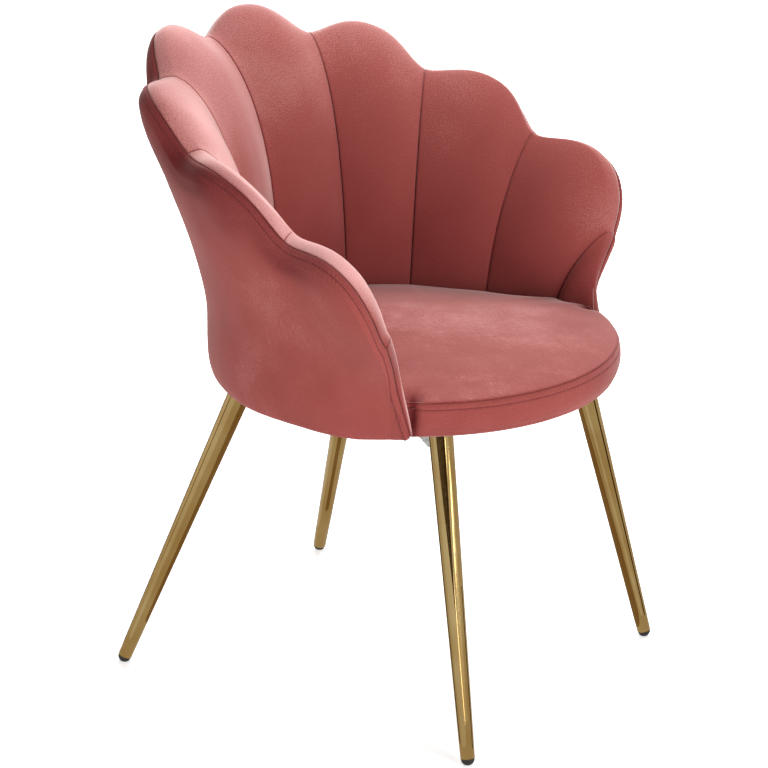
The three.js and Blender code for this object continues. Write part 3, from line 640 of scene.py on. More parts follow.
def add_cloth(piece, places, lay, from_stitches=1.0):
    """A map in real metres over the cloth, its tone at each point (0 deep, 1 pale) from how its pile
    lies and from painted light and shade, and how far off the line of topstitching is, which presses
    the pile down and takes painted shade in its groove."""
    mesh = piece.data
    corners = np.zeros(len(mesh.loops), int)
    mesh.loops.foreach_get("vertex_index", corners)
    layer = mesh.uv_layers.new(name="cloth")
    layer.data.foreach_set("uv", places.reshape(-1, 2)[corners].astype(np.float32).ravel())
    pile = mesh.attributes.new("pile_lay_and_painted_light", "FLOAT", "POINT")
    pile.data.foreach_set("value", np.clip(lay, 0, 1).astype(np.float32).ravel())
    away = mesh.attributes.new("from_stitches", "FLOAT", "POINT")
    away.data.foreach_set("value", (from_stitches + 0 * np.asarray(lay)).astype(np.float32).ravel())


def cloth_places(rings):
    """Where each point lies on the cloth: along the rim, and up from the first point."""
    beside = run_along(rings[:, rings.shape[1] // 3])
    return np.stack([np.repeat(beside[:, None], rings.shape[1], axis=1), run_along(rings, 1)], -1)


def velvet(name, patch_size, patch_strength, streak_shape, streak_strength, sheen):
    """Short-pile polyester velvet: the pile leans and brushes into paler and deeper patches, shows
    fine streaks along its nap, lies flat with painted shade along the topstitching, and glows at
    glancing angles. Painted light and shade come in with the tone attribute of each piece.
    The pile is drawn at 1.5 mm, coarser than real, so that it shows."""
    material, tree = new_material(name)
    place = add_node(tree, "ShaderNodeTexCoord").outputs["Object"]
    cloth = add_node(tree, "ShaderNodeUVMap", uv_map="cloth")
    lay = add_node(tree, "ShaderNodeAttribute", attribute_name="pile_lay_and_painted_light").outputs["Fac"]
    patches = add_node(tree, "ShaderNodeTexNoise", {
        "Vector": place, "Scale": 1 / patch_size, "Detail": 3.0, "Roughness": 0.55, "Distortion": 0.4,
    })
    patch = add_node(tree, "ShaderNodeMapRange", {
        0: patches, 1: 0.32, 2: 0.68, 3: -patch_strength, 4: patch_strength,
    })
    along_nap = add_node(tree, "ShaderNodeMapping", {"Vector": cloth, "Scale": streak_shape})
    streak_width = 1.8 * MM
    streaks = add_node(tree, "ShaderNodeTexNoise", {
        "Vector": along_nap, "Scale": 1 / streak_width, "Detail": 3.0, "Roughness": 0.6,
    })
    streak = add_node(tree, "ShaderNodeMapRange", {
        0: streaks, 1: 0.3, 2: 0.7, 3: -streak_strength, 4: streak_strength,
    })
    pile_size = 1.5 * MM
    pile = add_node(tree, "ShaderNodeTexNoise", {"Vector": cloth, "Scale": 1 / pile_size, "Detail": 2.0})
    fleck = add_node(tree, "ShaderNodeMapRange", {0: pile, 1: 0.25, 2: 0.75, 3: -0.12, 4: 0.12})
    stitched = add_node(tree, "ShaderNodeAttribute", attribute_name="from_stitches").outputs["Fac"]
    from_line = add_node(tree, "ShaderNodeMath", {0: stitched}, operation="ABSOLUTE")
    # Near the topstitching the pile is pressed flat, and painted shade darkens its groove
    pressed = add_node(tree, "ShaderNodeMapRange", {
        0: from_line, 1: 0.2 * MM, 2: 1.1 * MM, 3: 1.0, 4: 0.0,
    }, interpolation_type="SMOOTHSTEP")
    brushed = add_node(tree, "ShaderNodeMath", {0: lay, 1: patch}, operation="ADD")
    streaked = add_node(tree, "ShaderNodeMath", {0: brushed, 1: streak}, operation="ADD")
    streaked = add_node(tree, "ShaderNodeMath", {0: pressed, 1: -0.34, 2: streaked}, operation="MULTIPLY_ADD")
    flecked = add_node(tree, "ShaderNodeMath", {0: streaked, 1: fleck}, operation="ADD", use_clamp=True)
    leaning = add_node(tree, "ShaderNodeMapRange", {0: flecked, 1: 0.0, 2: 0.6, 3: 0.0, 4: 1.0})
    deep = add_node(tree, "ShaderNodeMix", {
        0: leaning, 6: hex_colour("#641f20"), 7: hex_colour("#9e4e49"),
    }, data_type="RGBA")
    brushed_up = add_node(tree, "ShaderNodeMapRange", {0: flecked, 1: 0.6, 2: 1.0, 3: 0.0, 4: 1.0})
    colour = add_node(tree, "ShaderNodeMix", {
        0: brushed_up, 6: deep.outputs[2], 7: hex_colour("#dfa39f"),
    }, data_type="RGBA")
    bump = add_node(tree, "ShaderNodeBump", {"Height": pile, "Strength": 0.3, "Distance": 0.25 * MM})
    shader = add_node(tree, "ShaderNodeBsdfPrincipled", {
        "Base Color": colour.outputs[2],
        "Roughness": 0.9,
        "Specular IOR Level": 0.15,
        "Sheen Weight": sheen,
        "Sheen Roughness": 0.38,
        "Sheen Tint": hex_colour("#ffe6e2"),
        "Normal": bump,
    })
    add_node(tree, "ShaderNodeOutputMaterial", {"Surface": shader})
    return material


across_nap = (1.0, 0.16, 1.0)
along_nap = (0.16, 1.0, 1.0)
outer_velvet = velvet("velvet_outer_cover", 70 * MM, 0.04, across_nap, 0.03, 0.3)

columns_per_petal = 84
hem_rows = 5
curl_rows = 12
face_rows = 56
face_crowding = 1.8
corner_rows = 16
board_rows = 7
hem_taper_place = 3.1
hem_taper_length = 0.8
end_taper = 0.5
cover_lip_tilt = 0.02
cover_lip_depth = 3.2 * MM
seam_groove = 1.1 * MM
seam_groove_width = 1.2 * MM
seam_roll = 0.7 * MM
topstitch_distance = 9.5 * MM
topstitch_groove = 0.7 * MM
topstitch_groove_width = 1.0 * MM
seam_roll_width = 4 * MM
pucker_pitch = 6 * MM
pucker_height = 0.32 * MM
pucker_spread = 8 * MM
pucker_centre_share = 0.85
# The puckers are deepest on the tight curve of each arm
pucker_place = 3.5
pucker_width = 0.45
pucker_least = 0.35
pucker_gain = 0.9
cover_wave = 0.6 * MM
cover_wave_length = 130 * MM
cover_wave_start = 60 * MM
notch_shade_places = (1.15, 2.1, 3.08)
notch_shade_width = 0.24
notch_shade_distance = 27 * MM
notch_shade_reach = 16 * MM
shaded_height = 620 * MM
shaded_reach = 140 * MM
cover_light_place = 1.4
cover_light_width = 0.9
cover_light_top = 640 * MM
cover_light_fade = 60 * MM
strip_fade = 3 * MM
seam_shade = 0.7 * MM


def half_rings(columns, ring_of, side):
    """Rings round the section of the shell on one side, from the middle of the back to the arm."""
    rings = []
    for channel in range(petals):
        steps = np.arange(columns + (channel == petals - 1)) / columns
        rings.append(ring_of(ShellLines(channel, steps, side)))
    return np.concatenate(rings)


def cover_ring(lines):
    """The section of the outer cover: under the seat, up the outside and over to the seam."""
    foot = outer_radius(lines.foot_angle, board_bottom)
    hem = cover_hem * (1 - end_taper * ease((lines.place - hem_taper_place) / hem_taper_length))
    sag = cover_sag * (1 - end_taper * lines.across * lines.last)
    lowest = board_bottom - sag
    hem_top = board_bottom - layer_gap
    curl = np.minimum(curl_top, lines.shoulder)
    outside = []
    for t in np.linspace(math.pi / 2, 0, hem_rows)[:-1]:
        outside.append(lines.at(foot - hem / 2 * (1 + math.sin(t)), lowest + sag / 2 * (1 - math.cos(t))))
    for t in np.linspace(0, math.pi / 2, curl_rows):
        height = lowest + (curl - lowest) * (1 - math.cos(t))
        outside.append(lines.skin(height, hem / 2 * (1 - math.sin(t))))
    for t in 1 - np.linspace(1, 0, face_rows)[1:] ** face_crowding:
        outside.append(lines.skin(curl + (lines.shoulder - curl) * t, 0))
    for t in np.linspace(0, 1, corner_rows)[1:]:
        outside.append(lines.corner(math.pi / 2 + (lines.seam_tilt - math.pi / 2) * t, 0))
    lip = lines.corner(lines.seam_tilt + cover_lip_tilt, cover_lip_depth)
    inside = [lip, lines.corner(corner_tilt, lines.cover), lines.skin(lines.shoulder, lines.cover)]
    board_top = lines.rim_height - lines.inset
    for t in np.linspace(1, 0, board_rows):
        inside.append(lines.skin(lines.foot_height + (board_top - lines.foot_height) * t, lines.cover))
    inside.append(lines.at(foot - lines.cover, hem_top))
    inside.append(lines.at(foot - hem, hem_top))
    return np.stack(outside + inside, 1)


outside_rows = hem_rows - 1 + curl_rows + face_rows - 1 + corner_rows - 1
right_rings = half_rings(columns_per_petal, cover_ring, 1)
left_rings = half_rings(columns_per_petal, cover_ring, -1)
cover_rings = np.concatenate([left_rings[:0:-1], right_rings])
half_places = np.arange(petals * columns_per_petal + 1) / columns_per_petal
cover_places = np.concatenate([half_places[:0:-1], half_places])[:, None]

# The cloth's relief: waves, the seam with the channels, and the puckered topstitching beside it
cover_face = cover_rings[:, :outside_rows]
rim_seam = cover_face[:, -1].copy()
from_seam, along_seam = distance_to(rim_seam, cover_face)
outward = surface_normals(cover_face, np.array([0, 10, 0]))
pucker_wave = np.sin(along_seam * 2 * math.pi / pucker_pitch + 1.5 * ripple(cover_face, 60 * MM, 3))
pucker_reach = hump(from_seam, topstitch_distance * pucker_centre_share, pucker_spread)
pucker_amount = pucker_least + pucker_gain * hump(cover_places, pucker_place, pucker_width)
pucker_amount = pucker_amount * (1 + 0.4 * ripple(cover_face, 140 * MM, 5))
wave_reach = np.clip(from_seam / cover_wave_start, 0, 1)
relief = (
    pucker_height * pucker_wave * pucker_reach * pucker_amount
    + cover_wave * ripple(cover_face, cover_wave_length, 8) * wave_reach
    + seam_roll * hump(from_seam, topstitch_distance / 2, seam_roll_width)
    - topstitch_groove * hump(from_seam, topstitch_distance, topstitch_groove_width)
    - seam_groove * np.exp(-from_seam / seam_groove_width)
)
cover_face += outward * relief[..., None]


def level_line(grid, distances, level):
    """The points where a distance first passes a level, going down each ring from its seam."""
    points = []
    for ring, values in zip(grid[:, ::-1], distances[:, ::-1]):
        passed = int(np.argmax(values > level))
        if passed == 0:
            continue
        share = (level - values[passed - 1]) / (values[passed] - values[passed - 1])
        points.append(ring[passed - 1] + (ring[passed] - ring[passed - 1]) * share)
    return np.array(points)


topstitch_line = level_line(cover_face, from_seam, topstitch_distance)

# Painted shade under the notches, where the cloth turns down below each petal's swell, towards
# the top, in the seam and on the puckers; painted light low on the cover; random tone; and a
# slightly deeper strip between seam and topstitch
cover_pile_and_painted_light = np.full(cover_rings.shape[:2], 0.54)
# Painted shade below each notch
notch_shade = sum(
    hump(cover_places, place, notch_shade_width) * hump(from_seam, notch_shade_distance, notch_shade_reach)
    for place in notch_shade_places
)
# A slightly deeper strip up to the topstitch, and painted shade in the seam
strip_and_seam_shade = -0.04 * ease((topstitch_distance - from_seam) / strip_fade)
strip_and_seam_shade = strip_and_seam_shade - 0.5 * np.exp(-from_seam / seam_shade)
# Painted light low on the cover, near the middle of each side
pale = hump(cover_places, cover_light_place, cover_light_width) * ease((cover_light_top - cover_face[..., 2]) / cover_light_fade)
cover_pile_and_painted_light[:, :outside_rows] += (
    0.03 * ripple(cover_face, 200 * MM, 12) + 0.012 * ripple(cover_face, 45 * MM, 13)
    + strip_and_seam_shade - 0.42 * notch_shade - 0.06 * pucker_wave * pucker_reach * pucker_amount
    + 0.05 * pale - 0.35 * ease((cover_face[..., 2] - shaded_height) / shaded_reach)
)
cover_from_stitches = np.full(cover_rings.shape[:2], 1.0)
cover_from_stitches[:, :outside_rows] = from_seam - topstitch_distance
for _ in range(2):
    cover_rings = rounded_end(cover_rings)[::-1]
    cover_pile_and_painted_light = carried_on(cover_pile_and_painted_light)[::-1]
    cover_from_stitches = carried_on(cover_from_stitches)[::-1]
outer_cover = ring_mesh("outer_cover", cover_rings)
add_cloth(outer_cover, cloth_places(cover_rings), cover_pile_and_painted_light, cover_from_stitches)
dress(outer_cover, outer_velvet, "velvet_outer", "outer_back_cover")

# Back channels
# Ten velvet channels stuffed with foam and wadding, each a tall puffed strip from the seat to
# its petal of the rim. Sewn seams draw them in between, and each wraps over the rim.

channel_velvet = velvet("velvet_channels", 120 * MM, 0.04, along_nap, 0.03, 1.0)
channel_columns = 52
pad_rows = 64
rim_rows = 12
channel_seam_depth = 0.9 * MM
channel_seam_width = 1.2 * MM
channel_gap = 0.3 * MM
channel_wave = 0.7 * MM
channel_wave_length = 130 * MM
channel_wave_start = 25 * MM
pleat_height = 0.3 * MM
pleat_pitch = 6 * MM
pleat_wander = 50 * MM
pleat_from_edge = 14 * MM
pleat_edge_reach = 10 * MM
pleat_from_rim = 32 * MM
pleat_rim_reach = 22 * MM
column_crowding = 0.94 * math.pi / 2
channel_lip_tilt = 0.06
channel_lip_depth = 3.4 * MM
rim_seam_gap = 0.015
board_edge_step = 3 * layer_gap
# Where the painted light and shade change, by the share of the climb and by the turn in petals,
# minus on the left
climb_light_start = 0.1
climb_light_length = 0.6
rim_share_start = 0.8
rim_share_length = 0.15
right_arm_turn = 3.9
right_arm_fade = 0.3
left_rim_turn = -3.2
left_rim_width = 0.8
left_end_turn = 3.4
left_end_fade = 0.5
left_side_turn = 1.5
rim_edge_shade = 20 * MM
edge_shade = 0.8 * MM


def channel_ring(lines, board_depth):
    """The section of one channel: up the padded face, over the rim, and back down the board."""
    shares = 1 - (1 - np.linspace(0, 1, pad_rows)) ** 2
    front = [lines.pad(share) for share in shares]
    for t in np.linspace(0, 1, rim_rows)[1:]:
        front.append(lines.corner((lines.seam_tilt - rim_seam_gap) * t, 0))
    back = [lines.corner(lines.seam_tilt - channel_lip_tilt, channel_lip_depth)]
    back.append(lines.corner(corner_tilt, lines.cover + layer_gap))
    back.append(lines.skin(lines.shoulder, lines.cover + layer_gap))
    over_board = lines.rim_height - lines.inset + layer_gap
    back.append(lines.skin(over_board + board_edge_step, lines.cover + layer_gap))
    back.append(lines.skin(over_board, lines.cover + board_depth))
    for t in np.linspace(1, 0, board_rows)[1:]:
        height = lines.foot_height + (over_board - lines.foot_height) * t
        back.append(lines.skin(height, lines.cover + board_depth))
    return np.stack(front + back, 1)


def make_channel(channel, side):
    """One padded channel with its velvet, and the line of its first seam."""
    last = channel == petals - 1
    board_depth = layer_gap if last else board_thickness + 2 * layer_gap
    width = wrap_angle / petals * (inner_foot_radius + back_reach) / 2
    trim = channel_gap / 2 / width
    # Columns crowd towards both seams, where the cloth turns in
    crowded = np.sin(np.linspace(-1, 1, channel_columns + 1) * column_crowding)
    crowded = crowded / math.sin(column_crowding)
    across = trim + (1 - 2 * trim) * (0.5 + 0.5 * crowded)
    rings = channel_ring(ShellLines(channel, across, side), board_depth)
    front_rows = pad_rows + rim_rows - 1
    front = rings[:, :front_rows]
    inward = surface_normals(front, np.array([0, seat_axis_y, 2 * notch_top_height]))
    from_first = run_along(front)
    from_last = from_first[-1] - from_first
    up = run_along(front, 1)
    from_rim = up[:, -1:] - up
    # Each edge closes down to its seam; the arm's front edge stays round
    from_edge = from_first if last else np.minimum(from_first, from_last)
    pleat_reach = hump(from_edge, pleat_from_edge, pleat_edge_reach)
    pleat_reach = pleat_reach * hump(from_rim, pleat_from_rim, pleat_rim_reach)
    pleats = np.sin(from_edge * 2 * math.pi / pleat_pitch + ripple(front, pleat_wander, 20 + channel))
    waves = ripple(front, channel_wave_length, 40 + channel + 10 * side)
    relief = (
        channel_wave * waves * np.clip(from_edge / channel_wave_start, 0, 1)
        + pleat_height * pleats * pleat_reach
        - channel_seam_depth * np.exp(-from_edge / channel_seam_width)
        - seam_groove * np.exp(-from_rim / seam_groove_width)
    )
    front += inward * relief[..., None]
    seam = front[0].copy()
    lay = np.full(rings.shape[:2], 0.5)
    climb_share = up / up[:, -1:]
    # Painted light and shade: paler towards the top and the rim, most of all on the left, whose inner
    # faces turn to the light, and painted shade low down, at the right arm, at the end of the left arm,
    # along the rim's outer edge and in the seams
    turn = side * (channel + across)[:, None]
    rim_share = ease((climb_share - rim_share_start) / rim_share_length)
    paler = np.clip(0.14 - 0.075 * turn, 0.02, 0.3) * (1 - 0.4 * rim_share)
    paler = paler - 0.3 * ease((turn - right_arm_turn) / right_arm_fade)
    painted_rim_light = 0.36 * hump(turn, left_rim_turn, left_rim_width)
    painted_rim_light = (painted_rim_light - 0.26 * ease((-turn - left_end_turn) / left_end_fade)) * rim_share
    at_edge = 1 - ease(from_rim / rim_edge_shade)
    painted_rim_light = painted_rim_light - 0.16 * rim_share * ease(-turn - left_side_turn) * at_edge
    painted_rim_light = painted_rim_light - 0.4 * np.exp(-np.minimum(from_edge, from_rim) / edge_shade)
    lay[:, :front_rows] += (
        0.3 * (climb_share - 0.6) + 0.04 * ripple(front, 160 * MM, 70 + channel)
        + paler * ease((climb_share - climb_light_start) / climb_light_length) + painted_rim_light
    )
    if last:
        rings = rounded_end(rings)
        lay = carried_on(lay)
    hand = "left" if side < 0 else "right"
    piece = ring_mesh(f"channel_{hand}_{channel + 1}", rings)
    add_cloth(piece, cloth_places(rings), lay)
    dress(piece, channel_velvet, "velvet_channels", f"back_channel_{hand}_{channel + 1}")
    return seam


channel_seams = {
    (channel, side): make_channel(channel, side)
    for channel in range(petals) for side in (-1, 1)
}

# Seat
# A round foam pad on the seat board under a crowned velvet panel, which tucks down behind at
# the back. The front is closed by a band sewn round its edge and topstitched below the seam.

seat_velvet = velvet("velvet_seat", 60 * MM, 0.06, across_nap, 0.08, 0.6)
seam_height = 470 * MM
seat_front_radius = 275 * MM
seat_crown = 23 * MM
start_crown_share = 0.82
seat_clearance = 0.9 * MM
edge_roll = 1.6 * MM
roll_inset = 6 * MM
skirt_inset = 7 * MM
skirt_bottom = 452 * MM
seat_sectors = 288
crown_rows = 46
crown_start = 0.002
crown_power = 3
crown_round = 0.75
contour_steps = 33
contour_offsets = (-4 * MM, 0, 6 * MM)
contour_top_share = 0.9
outline_steps = 721
outline_smoothing = math.radians(14)
outline_fill = 0.35
arm_start_angle = math.radians(96)
arm_fade_angle = math.radians(14)
held_share = 0.97
held_fade = 0.02
swelling_cap = 6 * MM
foam_pressure = 4.0
swelling_frames = 20
long_wave = 0.9 * MM
long_wave_length = 170 * MM
short_wave = 0.2 * MM
short_wave_length = 70 * MM
pinch_angle = math.radians(123)
pinch_reach = 17 * MM
pinch_depth = 9 * MM
pinch_inset = 4 * MM
fold_pitch = 12 * MM
fold_height = 2.2 * MM
fold_slant = 0.35
fold_reach = 14 * MM
pinch_fade = 20 * MM
back_lift = 4.5 * MM
lift_end_angle = math.radians(75)
lift_fade_angle = math.radians(35)
lift_start_share = 0.6
seat_light_place = (60 * MM, -130 * MM)
seat_light_size = (120 * MM, 90 * MM)
far_start = 5 * MM
far_reach = 120 * MM
seam_shade_share = 0.998
seam_shade_width = 0.003


def pad_contour(height):
    """The padded face's radius at one height, by the angle from the middle of the back."""
    turns, radii = [], []
    for channel in range(petals):
        lines = ShellLines(channel, np.linspace(0, 1, contour_steps), 1)
        share = np.clip((height - lines.foot_height) / (lines.rim_height - lines.foot_height), 0, 1)
        inside = share < contour_top_share
        turns.extend(lines.angle(height)[inside])
        radii.extend(lines.pad_radius(share)[inside])
    return np.array(turns), np.array(radii)


seat_contours = [pad_contour(seam_height + offset) for offset in contour_offsets]
outline_turns = np.linspace(0, math.pi, outline_steps)
outline_limit = np.minimum.reduce([
    np.interp(outline_turns, turns, radii, right=1.0) - seat_clearance for turns, radii in seat_contours
])
outline_limit = np.minimum(outline_limit, seat_front_radius)


def smoothed_outline():
    """The outline that the stretched panel takes: it bridges the seams between the channels."""
    half = int(round(outline_smoothing / (outline_turns[1] - outline_turns[0])))
    size = 2 * half + 1
    padded = np.pad(outline_limit, half, mode="reflect")
    lowest = np.array([padded[i:i + size].min() for i in range(len(outline_limit))])
    padded = np.pad(lowest, half, mode="reflect")
    window = np.hanning(size)
    smoothed = np.array([(padded[i:i + size] * window).sum() for i in range(len(lowest))])
    return np.minimum(smoothed / window.sum(), outline_limit)


behind_arms = 1 - ease((outline_turns - arm_start_angle) / arm_fade_angle)
smoothed = smoothed_outline()
bridged = smoothed + (outline_limit - smoothed) * outline_fill
seat_outline = outline_limit + (bridged - outline_limit) * behind_arms


def seat_edge(turn):
    """The seat's outline: drawn in between the arms and the back, and round in front of them."""
    return np.interp(np.abs(turn), outline_turns, seat_outline)


sector_turns = (np.arange(seat_sectors) + 0.5) / seat_sectors * 2 * math.pi - math.pi
edge = seat_edge(sector_turns)
start_crown = seat_crown * start_crown_share
crown_shares = np.sin(np.linspace(crown_start, 1, crown_rows) * math.pi / 2)
seat_rings = []
for share in crown_shares:
    height = seam_height + start_crown * (1 - share ** crown_power) ** crown_round
    seat_rings.append(around(edge * share, sector_turns, height))
for radius, height in (
    (edge - 0.5 * edge_roll, seam_height - edge_roll),
    (edge - roll_inset, seam_height - 2.2 * edge_roll),
    (edge - skirt_inset, skirt_bottom),
    (edge * 0.5, skirt_bottom),
):
    seat_rings.append(around(radius, sector_turns, height))
seat = ring_mesh("seat_pad", np.array(seat_rings))


def points_of(mesh):
    points = np.zeros(len(mesh.vertices) * 3)
    mesh.vertices.foreach_get("co", points)
    return points.reshape(-1, 3)


def inflate(piece, held, cap):
    """Cloth swollen by the foam inside it: the held points stay, and none moves past the cap."""
    before = points_of(piece.data)
    group = piece.vertex_groups.new(name="held")
    for share in sorted(set(np.round(held, 2))):
        chosen = np.flatnonzero(np.round(held, 2) == share)
        group.add([int(i) for i in chosen], float(share), "REPLACE")
    cloth = piece.modifiers.new("swell", "CLOTH")
    cloth.settings.effector_weights.gravity = 0
    cloth.settings.use_pressure = True
    cloth.settings.uniform_pressure_force = foam_pressure
    cloth.settings.vertex_group_mass = "held"
    cloth.settings.tension_stiffness = 12
    cloth.settings.bending_stiffness = 2
    cloth.settings.quality = 5
    cloth.collision_settings.use_collision = False
    cloth.point_cache.frame_end = swelling_frames
    for step in range(1, swelling_frames + 1):
        bpy.context.scene.frame_set(step)
    swollen = piece.evaluated_get(bpy.context.evaluated_depsgraph_get()).to_mesh()
    moved = points_of(swollen) - before
    piece.modifiers.remove(cloth)
    piece.vertex_groups.remove(group)
    length = np.linalg.norm(moved, axis=1, keepdims=True)
    moved = moved * np.minimum(1, cap / np.maximum(length, 1e-9))
    bpy.context.scene.frame_set(1)
    return before + moved


points = points_of(seat.data)
crown_count = crown_rows * seat_sectors
shares_down = np.concatenate([np.repeat(crown_shares, seat_sectors), np.ones(len(points) - crown_count)])
held = np.clip((shares_down - held_share) / held_fade, 0, 1)
points = inflate(seat, held, swelling_cap)

# The cloth settles in shallow waves, and is pinched down where the arms press on its edge
top_side = points[:, 2] > seam_height - 0.1 * MM
waves = ripple(points, long_wave_length, 61) * long_wave + ripple(points, short_wave_length, 62) * short_wave
points[:, 2] += waves * np.clip((1 - shares_down) / 0.1, 0, 1) * top_side


def pinch_of(points, side):
    """How far each point is drawn down by the tuck at one arm."""
    reach = seat_front_radius - pinch_inset
    at = around(reach, side * pinch_angle, 0)[:2]
    offset = points[:, :2] - at
    inward = np.array([0, seat_axis_y]) - at
    inward = inward / np.linalg.norm(inward)
    along = offset @ inward
    beside = side * (offset @ np.array([-inward[1], inward[0]]))
    hollow = hump(along, 0, pinch_reach) * hump(beside, 0, pinch_reach * 0.6)
    folds = np.sin((beside + fold_slant * along) * 2 * math.pi / fold_pitch)
    folds = folds * hump(along, pinch_inset, 1.3 * pinch_reach) * hump(beside, 0, fold_reach)
    return pinch_depth * hollow + fold_height * folds


turns = np.arctan2(points[:, 0], points[:, 1] - seat_axis_y)
lifted = ease((lift_end_angle - np.abs(turns)) / lift_fade_angle) * ease(
    (shares_down - lift_start_share) / (1 - lift_start_share)
)
points[:, 2] += back_lift * lifted * top_side
pinched = sum(pinch_of(points, side) for side in (-1, 1)) / pinch_depth
for side in (-1, 1):
    points[:, 2] -= pinch_of(points, side) * np.clip((points[:, 2] - skirt_bottom) / pinch_fade, 0, 1)
seat.data.vertices.foreach_set("co", points.astype(np.float32).ravel())
# Painted light on the seat's front where the light falls (the patch named worn), painted shade on
# the far side, in the tucks and along the seam, and random tone
worn = hump(points[:, 0], seat_light_place[0], seat_light_size[0]) * hump(points[:, 1], seat_light_place[1], seat_light_size[1])
far_side_shade = ease((0.84 * points[:, 0] + 0.54 * points[:, 1] - far_start) / far_reach)
seat_pile_and_painted_light = 0.56 + 0.14 * worn - 0.24 * far_side_shade + 0.04 * ripple(points, 190 * MM, 64)
seat_pile_and_painted_light = seat_pile_and_painted_light - 0.6 * np.clip(pinched, 0, 1)
seat_pile_and_painted_light = seat_pile_and_painted_light - 0.2 * hump(shares_down, seam_shade_share, seam_shade_width)
add_cloth(seat, points[:, :2].copy(), seat_pile_and_painted_light)
dress(seat, seat_velvet, "velvet_seat", "seat_top_panel", "seat_foam")

band_start = math.radians(116.5)
band_fade = math.radians(6)
band_columns = 420
band_rows = 44
roll_rows = 9
hem_steps = 4
band_back_rows = 8
band_thickness = 4.2 * MM
band_bulge = 5.5 * MM
band_swell_power = 0.7
band_top = seam_height - 0.6 * MM
band_bottom = board_bottom - 0.3 * MM
band_sag = 8.5 * MM
band_topstitch_drop = 8.5 * MM
band_groove = 0.6 * MM
band_groove_width = 1.2 * MM
band_ridge_width = 3 * MM
band_turn_in = 1.2 * MM
band_pucker = 0.22 * MM
band_pucker_spread = 6 * MM
band_pucker_pitch = 6.5 * MM
band_pucker_wander = 38 * MM
band_tuck = 4.5 * MM
tuck_angle = math.radians(123.2)
tuck_reach = math.radians(1.2)
hem_turn = 4 * MM
hem_thickness = 1.2 * MM
hem_reach = 34 * MM
hem_end_radius = 238.3 * MM

band_velvet = velvet("velvet_seat_band", 95 * MM, 0.06, along_nap, 0.05, 0.4)
band_turns = np.linspace(band_start, 2 * math.pi - band_start, band_columns + 1)
turned = np.minimum(band_turns, 2 * math.pi - band_turns)
band_edge = seat_edge(turned)
swell = band_bulge * ease((turned - foot_wrap_angle) / band_fade)
tucked = hump(turned, tuck_angle, tuck_reach)
arc = (band_turns - band_start) * seat_front_radius
band_wave = np.sin(arc * 2 * math.pi / band_pucker_pitch + 1.5 * np.sin(arc / band_pucker_wander))
band_rings = []
for share in np.linspace(0, 1, band_rows):
    drop = (band_top - band_bottom) * share
    turn_in = band_turn_in * math.exp(-drop / MM)
    stitch = band_groove * hump(drop, band_topstitch_drop, band_groove_width)
    ridge = band_groove * hump(drop, band_topstitch_drop / 2, band_ridge_width)
    pucker = band_pucker * hump(drop, band_topstitch_drop * 0.8, band_pucker_spread)
    bulge = swell * math.sin(math.pi * share) ** band_swell_power
    radius = band_edge + bulge - turn_in - stitch + ridge + pucker * band_wave
    radius = radius - band_tuck * tucked * math.sin(math.pi * min(1, 0.15 + share))
    band_rings.append(around(radius, band_turns, band_top - drop))
band_outside = np.array(band_rings)
roll_in = band_thickness + band_sag
for turn in np.linspace(0, math.pi / 2, roll_rows)[1:]:
    radius = band_edge - roll_in * (1 - math.cos(turn))
    band_rings.append(around(radius, band_turns, band_bottom - band_sag * math.sin(turn)))
for share in np.linspace(0, 1, hem_steps)[1:]:
    radius = band_edge - roll_in - hem_turn * share
    height = band_bottom - hem_thickness - (band_sag - hem_thickness) * (1 - share) ** 2
    band_rings.append(around(radius, band_turns, height))
hem_end = np.maximum(hem_end_radius, band_edge - hem_reach)
band_rings.append(around(hem_end, band_turns, band_bottom - hem_thickness))
band_rings.append(around(hem_end, band_turns, band_bottom))
for share in np.linspace(1, 0, band_back_rows):
    inner = band_edge - band_thickness + 0.6 * swell * math.sin(math.pi * share) ** band_swell_power
    band_rings.append(around(inner, band_turns, band_bottom + (band_top - band_bottom) * (1 - share)))
band_rings = np.array(band_rings).transpose(1, 0, 2)
band = ring_mesh("seat_band", band_rings)
band_drop = (band_top - band_bottom) * np.linspace(0, 1, band_rows)
# Painted shade where the band tucks behind the arms and along its top seam, and random tone
band_pile_and_painted_shade = 0.48 + 0.04 * ripple(band_rings, 160 * MM, 91) - 0.5 * tucked[:, None]
band_pile_and_painted_shade[:, :band_rows] -= 0.5 * np.exp(-band_drop / MM)
band_from_stitches = np.full(band_rings.shape[:2], 1.0)
band_from_stitches[:, :band_rows] = band_drop - band_topstitch_drop
add_cloth(band, cloth_places(band_rings), band_pile_and_painted_shade, band_from_stitches)
dress(band, band_velvet, "velvet_seat", "seat_front_band")

# Stitching
# Bonded polyester thread, a shade deeper than the velvet: a topstitch round the rim and round
# the seat's front, and the tight lockstitches that show down in the seams of the channels.


def sewing_thread():
    """Bonded polyester thread: twisted filaments with a low waxy shine."""
    material, tree = new_material("bonded_polyester_thread")
    place = add_node(tree, "ShaderNodeTexCoord").outputs["Object"]
    twist_size = 0.5 * MM
    twist = add_node(tree, "ShaderNodeTexNoise", {"Vector": place, "Scale": 1 / twist_size, "Detail": 1.0})
    colour = add_node(tree, "ShaderNodeMix", {
        0: twist, 6: hex_colour("#561d1e"), 7: hex_colour("#7a3435"),
    }, data_type="RGBA")
    shader = add_node(tree, "ShaderNodeBsdfPrincipled", {
        "Base Color": colour.outputs[2], "Roughness": 0.5, "Sheen Weight": 0.3, "Sheen Roughness": 0.3,
    })
    add_node(tree, "ShaderNodeOutputMaterial", {"Surface": shader})
    return material


